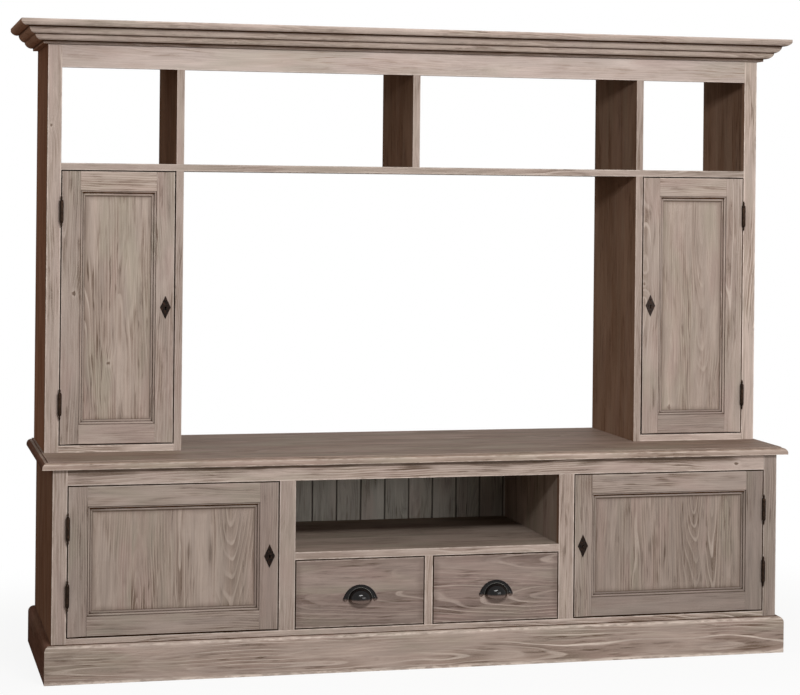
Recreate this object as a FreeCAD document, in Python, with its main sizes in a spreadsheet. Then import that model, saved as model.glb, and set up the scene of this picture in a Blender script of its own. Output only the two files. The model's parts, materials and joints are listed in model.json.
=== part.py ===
# Television cabinet in weathered pine: a low base with two cupboards, a niche and two drawers, and an
# upper part with two narrow cupboards, an open bay between them, four open compartments and a cornice.
# Millimetres, +Z up, +X to the right, front towards -Y. The origin is on the floor, in the middle.
import FreeCAD, Part
import math
import os
import Sketcher

doc = FreeCAD.newDocument("TvCabinet")
sheet = doc.addObject("Spreadsheet::Sheet", "Sizes")

# Driving sizes: name in the sheet, size, what it is.
SIZES = [
    # Whole cabinet
    ("depth", 580, "front face of the base to the back of the cabinet"),
    ("board", 20, "thickness of sides, partitions, bottoms and the long shelf"),
    ("frame_thickness", 22, "thickness of face frames, doors and drawer fronts"),
    ("shelf_thickness", 18, "thickness of the loose shelves"),
    # Base
    ("base_width", 2160, "width of the base carcass"),
    ("base_height", 616, "floor to the upper face of the base top"),
    ("plinth_height", 108, "height of the plinth"),
    ("plinth_thickness", 20, "how far the plinth stands proud of the carcass"),
    ("top_thickness", 22, "thickness of the base top"),
    ("top_front_overhang", 18, "base top past the front face"),
    ("top_side_overhang", 30, "base top past each side"),
    ("base_stile", 41, "width of the outer stiles of the base"),
    ("mid_stile", 46.5, "width of the stiles beside the niche"),
    ("cupboard_opening", 599, "width of a base cupboard's door opening"),
    ("top_rail", 46, "height of the rail under the base top"),
    ("bottom_rail", 100, "height of the rail behind the plinth"),
    ("bottom_rail_show", 16, "part of that rail that shows above the plinth"),
    ("niche_height", 204, "height of the open niche"),
    ("niche_shelf_thickness", 22, "thickness of the niche shelf"),
    ("drawer_divider_width", 24, "thickness of the divider between the drawers"),
    ("back_inset", 18, "back boards of the base in front of the rear edges"),
    # Upper part
    ("hutch_proud", 8, "upper carcass past each side of the base carcass"),
    ("hutch_setback", 196, "face of the upper part behind the face of the base"),
    ("hutch_stile", 40, "width of the outer stiles of the upper part"),
    ("tower_opening", 331, "width of a narrow cupboard's door opening"),
    ("tower_height", 790, "height of a narrow cupboard's door opening"),
    ("panel_board", 22, "thickness of the tower panels and dividers"),
    ("compartment_height", 274, "height of the open compartments"),
    ("frieze_height", 66, "part of the frieze rail that shows under the cornice"),
    ("cornice_height", 66, "height of the cornice"),
    ("cornice_projection", 82, "cornice past the face and the sides"),
    ("cornice_rim", 6, "cornice above the top board"),
    ("top_board", 18, "thickness of the board that closes the top"),
    ("tower_back_inset", 4, "back boards of the towers in front of the rear edges"),
    # Back boards
    ("back_board", 14, "thickness of the back boards"),
    ("back_cover", 77.3, "width that one back board covers"),
    # Doors
    ("door_gap", 3.2, "gap around doors and drawer fronts"),
    ("door_stile", 53, "flat part of a door's stiles"),
    ("door_rail", 56, "flat part of a door's rails"),
    ("moulding_width", 13, "width of the moulding round a panel"),
    ("moulding_ledge", 6, "inner ledge of that moulding"),
    ("panel_tongue", 8, "depth of the groove that holds the panel"),
    ("panel_play", 0.3, "play of the panel in its groove"),
    # Hinges
    ("hinge_inset", 119, "middle of a hinge from the end of the door opening"),
    ("barrel_radius", 6.5, "radius of the hinge barrel"),
    ("barrel_length", 65, "length of the two knuckles together"),
    ("barrel_clearance", 0.5, "barrel in front of the face"),
    ("knuckle_clearance", 0.3, "gap between the two knuckles"),
    ("pin_radius", 3, "radius of the hinge pin"),
    ("pin_clearance", 0.05, "radial clearance of the pin"),
    ("finial_neck_radius", 3.6, "radius of the neck under the finial"),
    ("finial_neck_length", 4, "length of that neck"),
    ("finial_radius", 5.2, "radius of the finial's ball"),
    ("leaf_thickness", 2, "thickness of a hinge leaf"),
    # Locks
    ("plate_width", 31, "width of the diamond keyhole plate"),
    ("plate_height", 67, "height of the diamond keyhole plate"),
    ("plate_thickness", 2, "thickness of the keyhole plate"),
    ("ring_radius", 7.5, "radius of the raised ring round the keyhole"),
    ("ring_height", 1.5, "height of that ring"),
    ("keyhole_radius", 2.8, "radius of the keyhole"),
    ("keyhole_slot", 2.4, "width of the keyhole's slot"),
    ("keyhole_drop", 8, "keyhole's middle to the foot of its slot"),
    ("lock_height", 60, "height of the lock"),
    ("lock_wall", 2, "wall of the lock"),
    ("bolt_height", 16, "height of the bolt's channel"),
    ("bolt_travel", 9, "travel of the bolt"),
    ("bolt_clearance", 0.2, "clearance round the bolt"),
    ("mortise_clearance", 0.4, "clearance round the bolt in its mortise"),
    # Drawers
    ("drawer_play", 1.5, "play between a drawer's sides and the opening"),
    ("drawer_lift", 0.3, "drawer sides above the bottom board"),
    ("drawer_side", 12, "thickness of a drawer's sides and back"),
    ("drawer_room", 66, "room behind a closed drawer"),
    ("drawer_bottom", 6, "thickness of a drawer's bottom"),
    ("drawer_bottom_lift", 10, "drawer bottom above the lower edge of the sides"),
    ("drawer_groove", 5, "groove that holds the drawer's bottom"),
    ("stop_length", 20, "length and height of a drawer stop"),
    ("stop_gap", 0.3, "gap between a closed drawer and its stops"),
    # Cup pulls
    ("pull_projection", 28, "cup pull past the drawer front"),
    ("pull_radius", 51, "radius of the pull's half-round flange"),
    ("pull_drop", 3, "flange's centre below its feet"),
    ("pull_foot", 74, "feet of the flange above the bottom of the opening"),
    ("pull_flange", 2.5, "thickness of the flange"),
    ("cup_radius", 34.5, "half the width of the cup"),
    ("cup_height", 37, "height of the cup above its lip"),
    ("cup_lift", 5, "lip of the cup at the drawer front above the feet"),
    ("cup_drop", 15.5, "fall of the lip from the drawer front to the nose of the cup"),
    ("cup_wall", 2.5, "wall of the cup"),
    ("screw_inset", 7, "radius of the pull's round feet, with a screw in the middle of each"),
    ("screw_radius", 1.5, "radius of a pull screw's shank"),
    ("screw_head", 3.2, "radius of a pull screw's head"),
    ("screw_length", 14, "length of a pull screw in the wood"),
    ("screw_clearance", 0.05, "clearance round the shank"),
    # Inside the cupboards
    ("shelf_play", 1, "play at each end of a loose shelf"),
    ("shelf_setback", 8, "loose shelves behind the doors"),
    ("cleat", 20, "width and height of the cleats under the shelves"),
    ("cleat_setback", 30, "cleats behind the front edge of the shelves"),
    # Cuts
    ("overrun", 10, "how far a cutting shape runs past what it cuts"),
]

# Cornice profile: shares of its projection and of its height, from the underside at the face, outwards.
CORNICE_UNDER_SHARES = [(0, 0), (0.183, 0), (0.183, 0.114), (0.232, 0.114)]
CORNICE_ROUND_SHARES = [(0.488, 0.348), (0.488, 0.379), (0.707, 0.667), (0.707, 0.697), (1, 0.864)]
CORNICE_RADIUS_SHARE = 0.27

# Shares of the board that carries the detail.
PLINTH_ROUND_SHARE = 0.85
TOP_ROUND_SHARE = 0.64
TOP_STEP_SHARE = 0.14
BACK_GROOVE_SHARE = 0.2
PANEL_SHARE = 0.41
LEDGE_SHARE = 0.73
STEP_SHARE = 0.23
LEAF_DEPTH_SHARE = 0.82
LOCK_SHARE = 0.55

# Shares of a door's stile: keyhole from the stile's edge, depth of the lock.
KEYHOLE_SHARE = 0.47
LOCK_REACH_SHARE = 0.76

# Other shares: quarter round of a moulding in its wall, small pins of a keyhole plate along its height,
# hinge pin in its knuckle, ball of a finial on its neck, height of a drawer's sides in the opening.
MOULDING_ROUND_SHARE = 0.95
PLATE_PIN_SHARE = 0.27
HINGE_PIN_SHARE = 0.9
FINIAL_SEAT_SHARE = 0.8
DRAWER_SIDE_SHARE = 0.8
TOWER_SHELVES = 2
TOLERANCE = 1e-5

for row, (alias, number, note) in enumerate(SIZES, start=1):
    sheet.set(f"A{row}", note)
    sheet.set(f"B{row}", str(number))
    sheet.setAlias(f"B{row}", alias)
doc.recompute()


class Size:
    """A length that keeps the sheet formula it is worked out by, beside its present value."""

    def __init__(self, number, formula):
        self.number = number
        self.formula = formula

    def __add__(self, other):
        other = as_size(other)
        return Size(self.number + other.number, f"({self.formula} + {other.formula})")

    def __sub__(self, other):
        other = as_size(other)
        return Size(self.number - other.number, f"({self.formula} - {other.formula})")

    def __mul__(self, factor):
        return Size(self.number * factor, f"({self.formula} * {factor})")

    def __truediv__(self, divisor):
        return Size(self.number / divisor, f"({self.formula} / {divisor})")

    def __neg__(self):
        return Size(-self.number, f"(-1 * {self.formula})")


def as_size(value):
    """Zero and lengths with no cell of their own get a formula too."""
    return value if isinstance(value, Size) else Size(value, str(value))


class Sheet:
    """The sheet's cells by name: cab.board is the size in the cell called board."""

    def __getattr__(self, alias):
        return Size(float(sheet.get(alias)), "Sizes." + alias)


cab = Sheet()
nodes = []


# Helpers: each makes one object whose sizes and place follow the sheet.
def bind(item, target, size):
    item.setExpression(target, as_size(size).formula)


def place(item, x, y, z):
    bind(item, "Placement.Base.x", x)
    bind(item, "Placement.Base.y", y)
    bind(item, "Placement.Base.z", z)


def block(name, x, y, z):
    """Box between two planes in each direction."""
    item = doc.addObject("Part::Box", name)
    item.Label = name
    bind(item, "Length", x[1] - x[0])
    bind(item, "Width", y[1] - y[0])
    bind(item, "Height", z[1] - z[0])
    place(item, x[0], y[0], z[0])
    return item


def rod(name, radius, length, x, y, z, direction=FreeCAD.Vector(0, 0, 1)):
    """Cylinder that starts at x, y, z and runs along direction."""
    item = doc.addObject("Part::Cylinder", name)
    item.Label = name
    bind(item, "Radius", radius)
    bind(item, "Height", length)
    up = FreeCAD.Vector(0, 0, 1)
    item.Placement = FreeCAD.Placement(FreeCAD.Vector(), FreeCAD.Rotation(up, direction))
    place(item, x, y, z)
    return item


def ball(name, radius, x, y, z):
    item = doc.addObject("Part::Sphere", name)
    item.Label = name
    bind(item, "Radius", radius)
    place(item, x, y, z)
    return item


def shell_ball(name, half_width, half_depth, height, x, y, z):
    """Ellipsoid with its own half size along each direction."""
    item = doc.addObject("Part::Ellipsoid", name)
    item.Label = name
    item.Angle1 = -90
    bind(item, "Radius1", height)
    bind(item, "Radius2", half_width)
    bind(item, "Radius3", half_depth)
    place(item, x, y, z)
    return item


def group(name, pieces):
    """Several solids under one name."""
    item = doc.addObject("Part::Compound", name)
    item.Label = name
    item.Links = pieces
    return item


def fused(name, pieces):
    item = doc.addObject("Part::MultiFuse", name)
    item.Label = name
    item.Shapes = pieces
    item.Refine = True
    return item


def cut(name, base, tools):
    """Base without its tools."""
    item = doc.addObject("Part::Cut", name)
    item.Label = name
    item.Base = base
    item.Tool = tools[0] if len(tools) == 1 else group(name + "_tools", tools)
    return item


def overlap(name, first, second):
    item = doc.addObject("Part::MultiCommon", name)
    item.Label = name
    item.Shapes = [first, second]
    return item


def mirrored(name, source):
    """The same piece on the left-hand side."""
    item = doc.addObject("Part::Mirroring", name)
    item.Label = name
    item.Source = source
    item.Base = FreeCAD.Vector(0, 0, 0)
    item.Normal = FreeCAD.Vector(1, 0, 0)
    return item


def pair(name, source):
    """A right-hand piece and its mirror image under one name."""
    return group(name, [source, mirrored(name + "_mirrored", source)])


def keep(name, item):
    """Makes the item a sub-part with this name."""
    item.Label = name
    nodes.append((name, item))
    return item


def body_of(name):
    body = doc.addObject("PartDesign::Body", name)
    body.Label = name
    return body


def sketch_on(body, role, lift=0):
    """Sketch on one of the body's origin planes, lifted along its normal."""
    plane = next(item for item in body.Origin.OriginFeatures if item.Role == role)
    sketch = body.newObject("Sketcher::SketchObject", body.Name + "_sketch")
    sketch.AttachmentSupport = [(plane, "")]
    sketch.MapMode = "FlatFace"
    bind(sketch, "AttachmentOffset.Base.z", lift)
    return sketch


def arc_between(start, end, radius):
    """Arc that bulges to the right of the way from start to end."""
    chord = end - start
    middle = (start + end) * 0.5
    right = FreeCAD.Vector(chord.y, -chord.x, 0).normalize()
    rise = radius - math.sqrt(radius * radius - chord.Length * chord.Length / 4)
    return Part.Arc(start, middle + right * rise, end)


def outline(sketch, points, rounds=None):
    """Closed line through points. rounds gives the radius of the stretches that are arcs."""
    rounds = rounds or {}
    first = len(sketch.Geometry)
    count = len(points)
    spots = [FreeCAD.Vector(as_size(u).number, as_size(v).number, 0) for u, v in points]
    for i in range(count):
        start = spots[i]
        end = spots[(i + 1) % count]
        if i in rounds:
            sketch.addGeometry(arc_between(start, end, rounds[i].number))
        else:
            sketch.addGeometry(Part.LineSegment(start, end))
    # A three-point arc is stored anticlockwise, so its stored start may be the outline's later point.
    ends = []
    for i in range(count):
        flipped = (sketch.Geometry[first + i].StartPoint - spots[i]).Length > TOLERANCE
        ends.append((2, 1) if flipped else (1, 2))
    for i in range(count):
        later = (i + 1) % count
        joint = (first + i, ends[i][1], first + later, ends[later][0])
        sketch.addConstraint(Sketcher.Constraint("Coincident", *joint))
        for kind, value in zip(("DistanceX", "DistanceY"), points[i]):
            size = as_size(value)
            spot = (-1, 1, first + i, ends[i][0])
            number = sketch.addConstraint(Sketcher.Constraint(kind, *spot, size.number))
            sketch.setExpression(f"Constraints[{number}]", size.formula)
        if i in rounds:
            number = sketch.addConstraint(Sketcher.Constraint("Radius", first + i, rounds[i].number))
            sketch.setExpression(f"Constraints[{number}]", rounds[i].formula)


def rectangle(sketch, u, v):
    outline(sketch, [(u[0], v[0]), (u[1], v[0]), (u[1], v[1]), (u[0], v[1])])


def padded(body, sketch, length, both_ways=False):
    pad = body.newObject("PartDesign::Pad", body.Name + "_pad")
    pad.Profile = sketch
    pad.SideType = "Symmetric" if both_ways else "One side"
    bind(pad, "Length", length)
    sketch.Visibility = False
    return pad


def prism(name, points, front, back):
    """Solid between two planes across Y, from points in X and Z."""
    body = body_of(name)
    sketch = sketch_on(body, "XZ_Plane", -back)
    outline(sketch, points)
    padded(body, sketch, back - front)
    return body


def rounded(body, feature, radius, planes, wanted=None):
    """Round on the edges that lie in all the planes and whose end points pass the test called wanted."""
    doc.recompute()
    names = []
    for number, edge in enumerate(feature.Shape.Edges, start=1):
        points = [vertex.Point for vertex in edge.Vertexes]
        inside = all(all_near(points, direction, size) for direction, size in planes.items())
        if inside and (wanted is None or wanted(points)):
            names.append(f"Edge{number}")
    fillet = body.newObject("PartDesign::Fillet", body.Name + "_round")
    fillet.Base = (feature, names)
    bind(fillet, "Radius", radius)
    return fillet


def all_near(points, direction, size):
    """Whether all the points lie on one plane across the direction called x, y or z."""
    return all(abs(getattr(point, direction) - size.number) < TOLERANCE for point in points)


# Main planes. Names ending in _face are front planes, towards -Y.
face = -(cab.depth - cab.pull_projection) / 2
rear = face + cab.depth
inner_face = face + cab.frame_thickness
base_back_face = rear - cab.back_inset - cab.back_board
base_half = cab.base_width / 2
base_inside = base_half - cab.board
cupboard_out = base_half - cab.base_stile
cupboard_in = cupboard_out - cab.cupboard_opening
niche_half = cupboard_in - cab.mid_stile
floor_level = cab.plinth_height + cab.bottom_rail_show
top_under = cab.base_height - cab.top_thickness
rail_under = top_under - cab.top_rail
niche_floor = rail_under - cab.niche_height
drawer_top = niche_floor - cab.niche_shelf_thickness

hutch_face = face + cab.hutch_setback
hutch_inner_face = hutch_face + cab.frame_thickness
tower_back_face = rear - cab.tower_back_inset - cab.back_board
hutch_half = base_half + cab.hutch_proud
hutch_inside = hutch_half - cab.board
tower_out = hutch_half - cab.hutch_stile
tower_in = tower_out - cab.tower_opening
bay_half = tower_in - cab.panel_board
tower_floor = cab.base_height + cab.board
shelf_under = tower_floor + cab.tower_height
shelf_top = shelf_under + cab.board
frieze_under = shelf_top + cab.compartment_height
cornice_under = frieze_under + cab.frieze_height
cornice_top = cornice_under + cab.cornice_height
carcass_top = cornice_top - cab.cornice_rim
ceiling = carcass_top - cab.top_board

# Sizes that follow from the boards that carry them.
leaf_depth = cab.frame_thickness * LEAF_DEPTH_SHARE
lock_thickness = cab.frame_thickness * LOCK_SHARE
lock_reach = cab.door_stile * LOCK_REACH_SHARE
keyhole_inset = cab.door_stile * KEYHOLE_SHARE
panel_thickness = cab.frame_thickness * PANEL_SHARE
plinth_round = cab.plinth_thickness * PLINTH_ROUND_SHARE
back_groove = cab.back_board * BACK_GROOVE_SHARE

BACK = FreeCAD.Vector(0, 1, 0)


# Plinth: a front board and two returns, mitred at the front corners, with a rounded upper edge.
def plinth_front():
    outer = base_half + cab.plinth_thickness
    body = body_of("plinth_front")
    sketch = sketch_on(body, "XY_Plane")
    front = face - cab.plinth_thickness
    outline(sketch, [(-outer, front), (outer, front), (base_half, face), (-base_half, face)])
    pad = padded(body, sketch, cab.plinth_height)
    rounded(body, pad, plinth_round, {"z": cab.plinth_height, "y": front})
    keep("plinth_front", body)


def plinth_returns():
    outer = base_half + cab.plinth_thickness
    body = body_of("plinth_return")
    sketch = sketch_on(body, "XY_Plane")
    front = face - cab.plinth_thickness
    outline(sketch, [(base_half, face), (outer, front), (outer, rear), (base_half, rear)])
    pad = padded(body, sketch, cab.plinth_height)
    rounded(body, pad, plinth_round, {"z": cab.plinth_height, "x": outer})
    keep("plinth_returns", pair("plinth_pair", body))


# Base carcass.
def base_sides():
    right = block("side", (base_inside, base_half), (inner_face, rear), (as_size(0), top_under))
    keep("base_side_right", right)
    keep("base_side_left", mirrored("side_left", right))


def base_bottom():
    levels = (floor_level - cab.board, floor_level)
    item = block("bottom", (-base_inside, base_inside), (inner_face, base_back_face), levels)
    keep("base_bottom", item)


def partitions():
    thickness = (niche_half, niche_half + cab.board)
    right = block("partition", thickness, (inner_face, base_back_face), (floor_level, top_under))
    keep("partition_right", right)
    keep("partition_left", mirrored("partition_mirror", right))


def leaf_pocket(name, edge, inward, front, level):
    """Recess for a hinge leaf in the edge of a stile. inward is +1 or -1 along X."""
    deep = edge + cab.leaf_thickness * inward
    span = (edge, deep) if inward > 0 else (deep, edge)
    half = cab.barrel_length / 2
    depth = (front - cab.overrun, front + leaf_depth)
    return block(name, span, depth, (level - half, level + half))


def hinge_levels(low, high):
    return [low + cab.hinge_inset, high - cab.hinge_inset]


def bolt_mortise(name, edge, front, level):
    """Slot that a thrown bolt enters, cut into the piece inside the opening's edge."""
    half_height = cab.bolt_height / 2 + cab.mortise_clearance
    middle = front + cab.frame_thickness / 2
    half_depth = lock_thickness / 2 - cab.lock_wall + cab.mortise_clearance
    span = (edge - cab.bolt_travel - cab.mortise_clearance, edge)
    depth = (middle - half_depth, middle + half_depth)
    return block(name, span, depth, (level - half_height, level + half_height))


def base_frame():
    stile = block("base_stile", (cupboard_out, base_half), (face, inner_face), (as_size(0), top_under))
    pockets = []
    for i, level in enumerate(hinge_levels(floor_level, rail_under)):
        pockets.append(leaf_pocket(f"base_pocket_{i}", cupboard_out, 1, face, level))
    keep("base_stiles", pair("base_stile_pair", cut("base_stile_cut", stile, pockets)))

    mid = block("mid_stile", (niche_half, cupboard_in), (face, inner_face), (floor_level, rail_under))
    mortise = bolt_mortise("mid_mortise", cupboard_in, face, (floor_level + rail_under) / 2)
    keep("base_mid_stiles", pair("mid_stile_pair", cut("mid_stile_cut", mid, [mortise])))

    width = (-cupboard_out, cupboard_out)
    keep("base_top_rail", block("top_rail", width, (face, inner_face), (rail_under, top_under)))
    levels = (floor_level - cab.bottom_rail, floor_level)
    keep("base_bottom_rail", block("bottom_rail", width, (face, inner_face), levels))


def niche_shelf():
    levels = (drawer_top, niche_floor)
    keep("niche_shelf", block("niche_board", (-niche_half, niche_half), (face, base_back_face), levels))


def drawer_divider():
    half = cab.drawer_divider_width / 2
    item = block("divider", (-half, half), (face, base_back_face), (floor_level, drawer_top))
    keep("drawer_divider", item)


def back_boards(name, low, high, first_joint, front, levels):
    """Upright boards side by side, with a groove along the front of each joint."""
    joints = []
    count = math.ceil((high.number - low.number) / cab.back_cover.number) + 1
    for i in range(-count, count + 1):
        joint = first_joint + cab.back_cover * i
        if low.number + cab.back_board.number < joint.number < high.number - cab.back_board.number:
            joints.append(joint)
    edges = [low] + joints + [high]
    boards = []
    for i, (left, right) in enumerate(zip(edges, edges[1:])):
        boards.append(block(f"{name}_board_{i}", (left, right), (front, front + cab.back_board), levels))
    grooves = []
    for i, joint in enumerate(joints):
        side = back_groove * math.sqrt(2)
        groove = doc.addObject("Part::Box", f"{name}_groove_{i}")
        bind(groove, "Length", side)
        bind(groove, "Width", side)
        bind(groove, "Height", levels[1] - levels[0] + cab.overrun * 2)
        turn = FreeCAD.Rotation(FreeCAD.Vector(0, 0, 1), 45)
        groove.Placement = FreeCAD.Placement(FreeCAD.Vector(), turn)
        place(groove, joint, front - back_groove, levels[0] - cab.overrun)
        grooves.append(groove)
    return cut(name, group(name + "_boards", boards), grooves)


def base_back():
    levels = (floor_level - cab.board, top_under)
    item = back_boards("base_backs", -base_inside, base_inside, as_size(0), base_back_face, levels)
    keep("base_back_boards", item)


# Base top: a rounded edge with a small step above it on the front and both sides.
def base_top():
    side = base_half + cab.top_side_overhang
    front = face - cab.top_front_overhang
    body = body_of("base_top")
    step = cab.top_thickness * TOP_STEP_SHARE
    radius = cab.top_thickness * TOP_ROUND_SHARE
    step_level = cab.base_height - step
    lower = sketch_on(body, "XY_Plane", top_under)
    rectangle(lower, (-side, side), (front, rear))
    slab = padded(body, lower, cab.top_thickness - step)
    rounded(body, slab, radius, {"z": step_level}, lambda points: not all_near(points, "y", rear))

    upper = sketch_on(body, "XY_Plane", step_level)
    inset = radius + step / 2
    rectangle(upper, (-side + inset, side - inset), (front + inset, rear))
    padded(body, upper, step)
    keep("base_top", body)


# Upper part.
def corner_notch(name, levels):
    """Room for a face stile at the front corner of a board that runs to the side panel."""
    span = (tower_out, hutch_inside + cab.overrun)
    return block(name, span, (hutch_face - cab.overrun, hutch_inner_face), levels)


def tower_bottoms():
    levels = (cab.base_height, tower_floor)
    board = block("tower_bottom_board", (tower_in, hutch_inside), (hutch_face, rear), levels)
    notch = corner_notch("tower_bottom_notch", levels)
    keep("tower_bottoms", pair("tower_bottom_pair", cut("tower_bottom_cut", board, [notch])))


def hutch_sides():
    span = (hutch_inside, hutch_half)
    right = block("hutch_side", span, (hutch_inner_face, rear), (cab.base_height, carcass_top))
    keep("hutch_side_right", right)
    keep("hutch_side_left", mirrored("hutch_side_mirror", right))


def tower_panels():
    levels = (cab.base_height, shelf_under)
    board = block("tower_panel_board", (bay_half, tower_in), (hutch_face, rear), levels)
    middle = (tower_floor + shelf_under) / 2
    right = cut("tower_panel_cut", board, [bolt_mortise("tower_mortise", tower_in, hutch_face, middle)])
    keep("tower_panel_right", right)
    keep("tower_panel_left", mirrored("tower_panel_mirror", right))


def hutch_shelf():
    levels = (shelf_under, shelf_top)
    board = block("long_shelf", (-hutch_inside, hutch_inside), (hutch_face, rear), levels)
    right = corner_notch("shelf_notch", levels)
    left = mirrored("shelf_notch_left", right)
    keep("hutch_shelf", cut("long_shelf_cut", board, [right, left]))


def upper_dividers():
    half = cab.panel_board / 2
    spans = [(-tower_in, -bay_half), (-half, half), (bay_half, tower_in)]
    dividers = []
    for i, span in enumerate(spans):
        board = block(f"divider_board_{i}", span, (hutch_face, rear), (shelf_top, ceiling))
        wide = (span[0] - cab.overrun, span[1] + cab.overrun)
        depth = (hutch_face - cab.overrun, hutch_inner_face)
        notch = block(f"divider_notch_{i}", wide, depth, (frieze_under, ceiling + cab.overrun))
        dividers.append(cut(f"divider_cut_{i}", board, [notch]))
    keep("upper_dividers", group("divider_group", dividers))


def hutch_top():
    span = (-hutch_inside, hutch_inside)
    keep("hutch_top", block("top_closing", span, (hutch_inner_face, rear), (ceiling, carcass_top)))


def hutch_frame():
    levels = (frieze_under, carcass_top)
    keep("frieze_rail", block("frieze", (-tower_out, tower_out), (hutch_face, hutch_inner_face), levels))
    span = (tower_out, hutch_half)
    stile = block("hutch_stile", span, (hutch_face, hutch_inner_face), (cab.base_height, carcass_top))
    pockets = []
    for i, level in enumerate(hinge_levels(tower_floor, shelf_under)):
        pockets.append(leaf_pocket(f"hutch_pocket_{i}", tower_out, 1, hutch_face, level))
    keep("hutch_stiles", pair("hutch_stile_pair", cut("hutch_stile_cut", stile, pockets)))


def tower_backs():
    levels = (tower_floor, shelf_under)
    first = tower_in + cab.back_cover
    right = back_boards("tower_backs", tower_in, hutch_inside, first, tower_back_face, levels)
    keep("tower_back_boards", pair("tower_back_pair", right))


# Cornice: three rounded members over a small fillet, mitred at the front corners.
def cornice_points(outward):
    """Profile points from shares. outward turns a distance from the carcass into a sketch place."""
    shares = CORNICE_UNDER_SHARES + CORNICE_ROUND_SHARES + [(1, 1), (0, 1)]
    points = []
    for out_share, up_share in shares:
        up = cornice_under + cab.cornice_height * up_share
        points.append((outward(cab.cornice_projection * out_share), up))
    return points


def cornice_rounds():
    radius = cab.cornice_projection * CORNICE_RADIUS_SHARE
    first = len(CORNICE_UNDER_SHARES) - 1
    return {first: radius, first + 2: radius, first + 4: radius}


def cornice_front():
    body = body_of("cornice_front")
    sketch = sketch_on(body, "YZ_Plane")
    reversed_points = cornice_points(lambda out: hutch_face - out)[::-1]
    last = len(reversed_points) - 2
    rounds = {last - i: radius for i, radius in cornice_rounds().items()}
    outline(sketch, reversed_points, rounds)
    outer = hutch_half + cab.cornice_projection
    padded(body, sketch, outer * 2, both_ways=True)
    mitres = sketch_on(body, "XY_Plane", cornice_under - cab.overrun)
    nose = hutch_face - cab.cornice_projection
    past = cab.overrun
    for side in (1, -1):
        inner_x = (hutch_half - past) * side
        outer_x = (outer + past) * side
        outline(mitres, [(inner_x, hutch_face + past), (outer_x, nose - past), (outer_x, hutch_face + past)])
    pocket = body.newObject("PartDesign::Pocket", "cornice_front_mitres")
    pocket.Profile = mitres
    pocket.Reversed = True
    bind(pocket, "Length", cab.cornice_height + cab.overrun * 2)
    keep("cornice_front", body)


def cornice_returns():
    body = body_of("cornice_return")
    sketch = sketch_on(body, "XZ_Plane", -rear)
    outline(sketch, cornice_points(lambda out: hutch_half + out), cornice_rounds())
    nose = hutch_face - cab.cornice_projection
    padded(body, sketch, rear - nose)
    mitre = sketch_on(body, "XY_Plane", cornice_under - cab.overrun)
    outer = hutch_half + cab.cornice_projection
    past = cab.overrun
    inner_x = hutch_half - past
    outline(mitre, [(inner_x, hutch_face + past), (inner_x, nose - past), (outer + past, nose - past)])
    pocket = body.newObject("PartDesign::Pocket", "cornice_return_mitre")
    pocket.Profile = mitre
    pocket.Reversed = True
    bind(pocket, "Length", cab.cornice_height + cab.overrun * 2)
    keep("cornice_returns", pair("cornice_return_pair", body))


# Loose shelves on cleats.
def loose_shelf(name, inner, outer, front, back, under):
    shelf = block(
        name,
        (inner + cab.shelf_play, outer - cab.shelf_play),
        (front + cab.shelf_setback, back),
        (under, under + cab.shelf_thickness),
    )
    depth = (front + cab.shelf_setback + cab.cleat_setback, back)
    levels = (under - cab.cleat, under)
    near_cleat = block(name + "_cleat_in", (inner, inner + cab.cleat), depth, levels)
    far_cleat = block(name + "_cleat_out", (outer - cab.cleat, outer), depth, levels)
    return shelf, [near_cleat, far_cleat]


def shelves():
    boards = []
    cleats = []
    wall = niche_half + cab.board
    half_shelf = cab.shelf_thickness / 2
    middle = (floor_level + rail_under) / 2 - half_shelf
    places = [("base_shelf", wall, base_inside, inner_face, base_back_face, middle)]
    for i in range(TOWER_SHELVES):
        under = tower_floor + cab.tower_height * (i + 1) / (TOWER_SHELVES + 1) - half_shelf
        places.append((f"tower_shelf_{i}", tower_in, hutch_inside, hutch_inner_face, tower_back_face, under))
    for name, inner, outer, front, back, under in places:
        board, strips = loose_shelf(name, inner, outer, front, back, under)
        boards += [board, mirrored(name + "_left", board)]
        for strip in strips:
            cleats += [strip, mirrored(strip.Label + "_left", strip)]
    keep("loose_shelves", group("shelf_group", boards))
    keep("shelf_cleats", group("cleat_group", cleats))


# Hinges: a knuckle and a leaf on the frame with the pin, and a knuckle and a leaf on the door.
def finial(name, x, y, level, upward):
    """Neck and ball at the end of a barrel."""
    neck_end = level + cab.finial_neck_length * upward
    low = level if upward > 0 else neck_end
    neck = rod(name + "_neck", cab.finial_neck_radius, cab.finial_neck_length, x, y, low)
    middle = neck_end + cab.finial_radius * (FINIAL_SEAT_SHARE * upward)
    return [neck, ball(name + "_ball", cab.finial_radius, x, y, middle)]


def hinge_half(name, hinge_x, leaf_x, front, level, on_door):
    """One half of a right-hand hinge. leaf_x is the span of its leaf."""
    axis_y = front - cab.barrel_radius - cab.barrel_clearance
    half = cab.barrel_length / 2
    leaf = block(name + "_leaf", leaf_x, (front, front + leaf_depth), (level - half, level + half))
    if on_door:
        low = level + cab.knuckle_clearance
        high = level + half
        end, upward = high, 1
    else:
        low = level - half
        high = level
        end, upward = low, -1
    neck = block(name + "_neck", leaf_x, (axis_y, front), (low, high))
    knuckle = rod(name + "_knuckle", cab.barrel_radius, high - low, hinge_x, axis_y, low)
    knob = finial(name + "_finial", hinge_x, axis_y, end, upward)
    solid = fused(name + "_solid", [leaf, neck, knuckle] + knob)
    pin_length = half * HINGE_PIN_SHARE
    if on_door:
        bore_radius = cab.pin_radius + cab.pin_clearance
        bore_length = pin_length + cab.knuckle_clearance
        bore = rod(name + "_bore", bore_radius, bore_length, hinge_x, axis_y, level)
        return cut(name, solid, [bore])
    pin = rod(name + "_pin", cab.pin_radius, pin_length, hinge_x, axis_y, level)
    return fused(name, [solid, pin])


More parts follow.
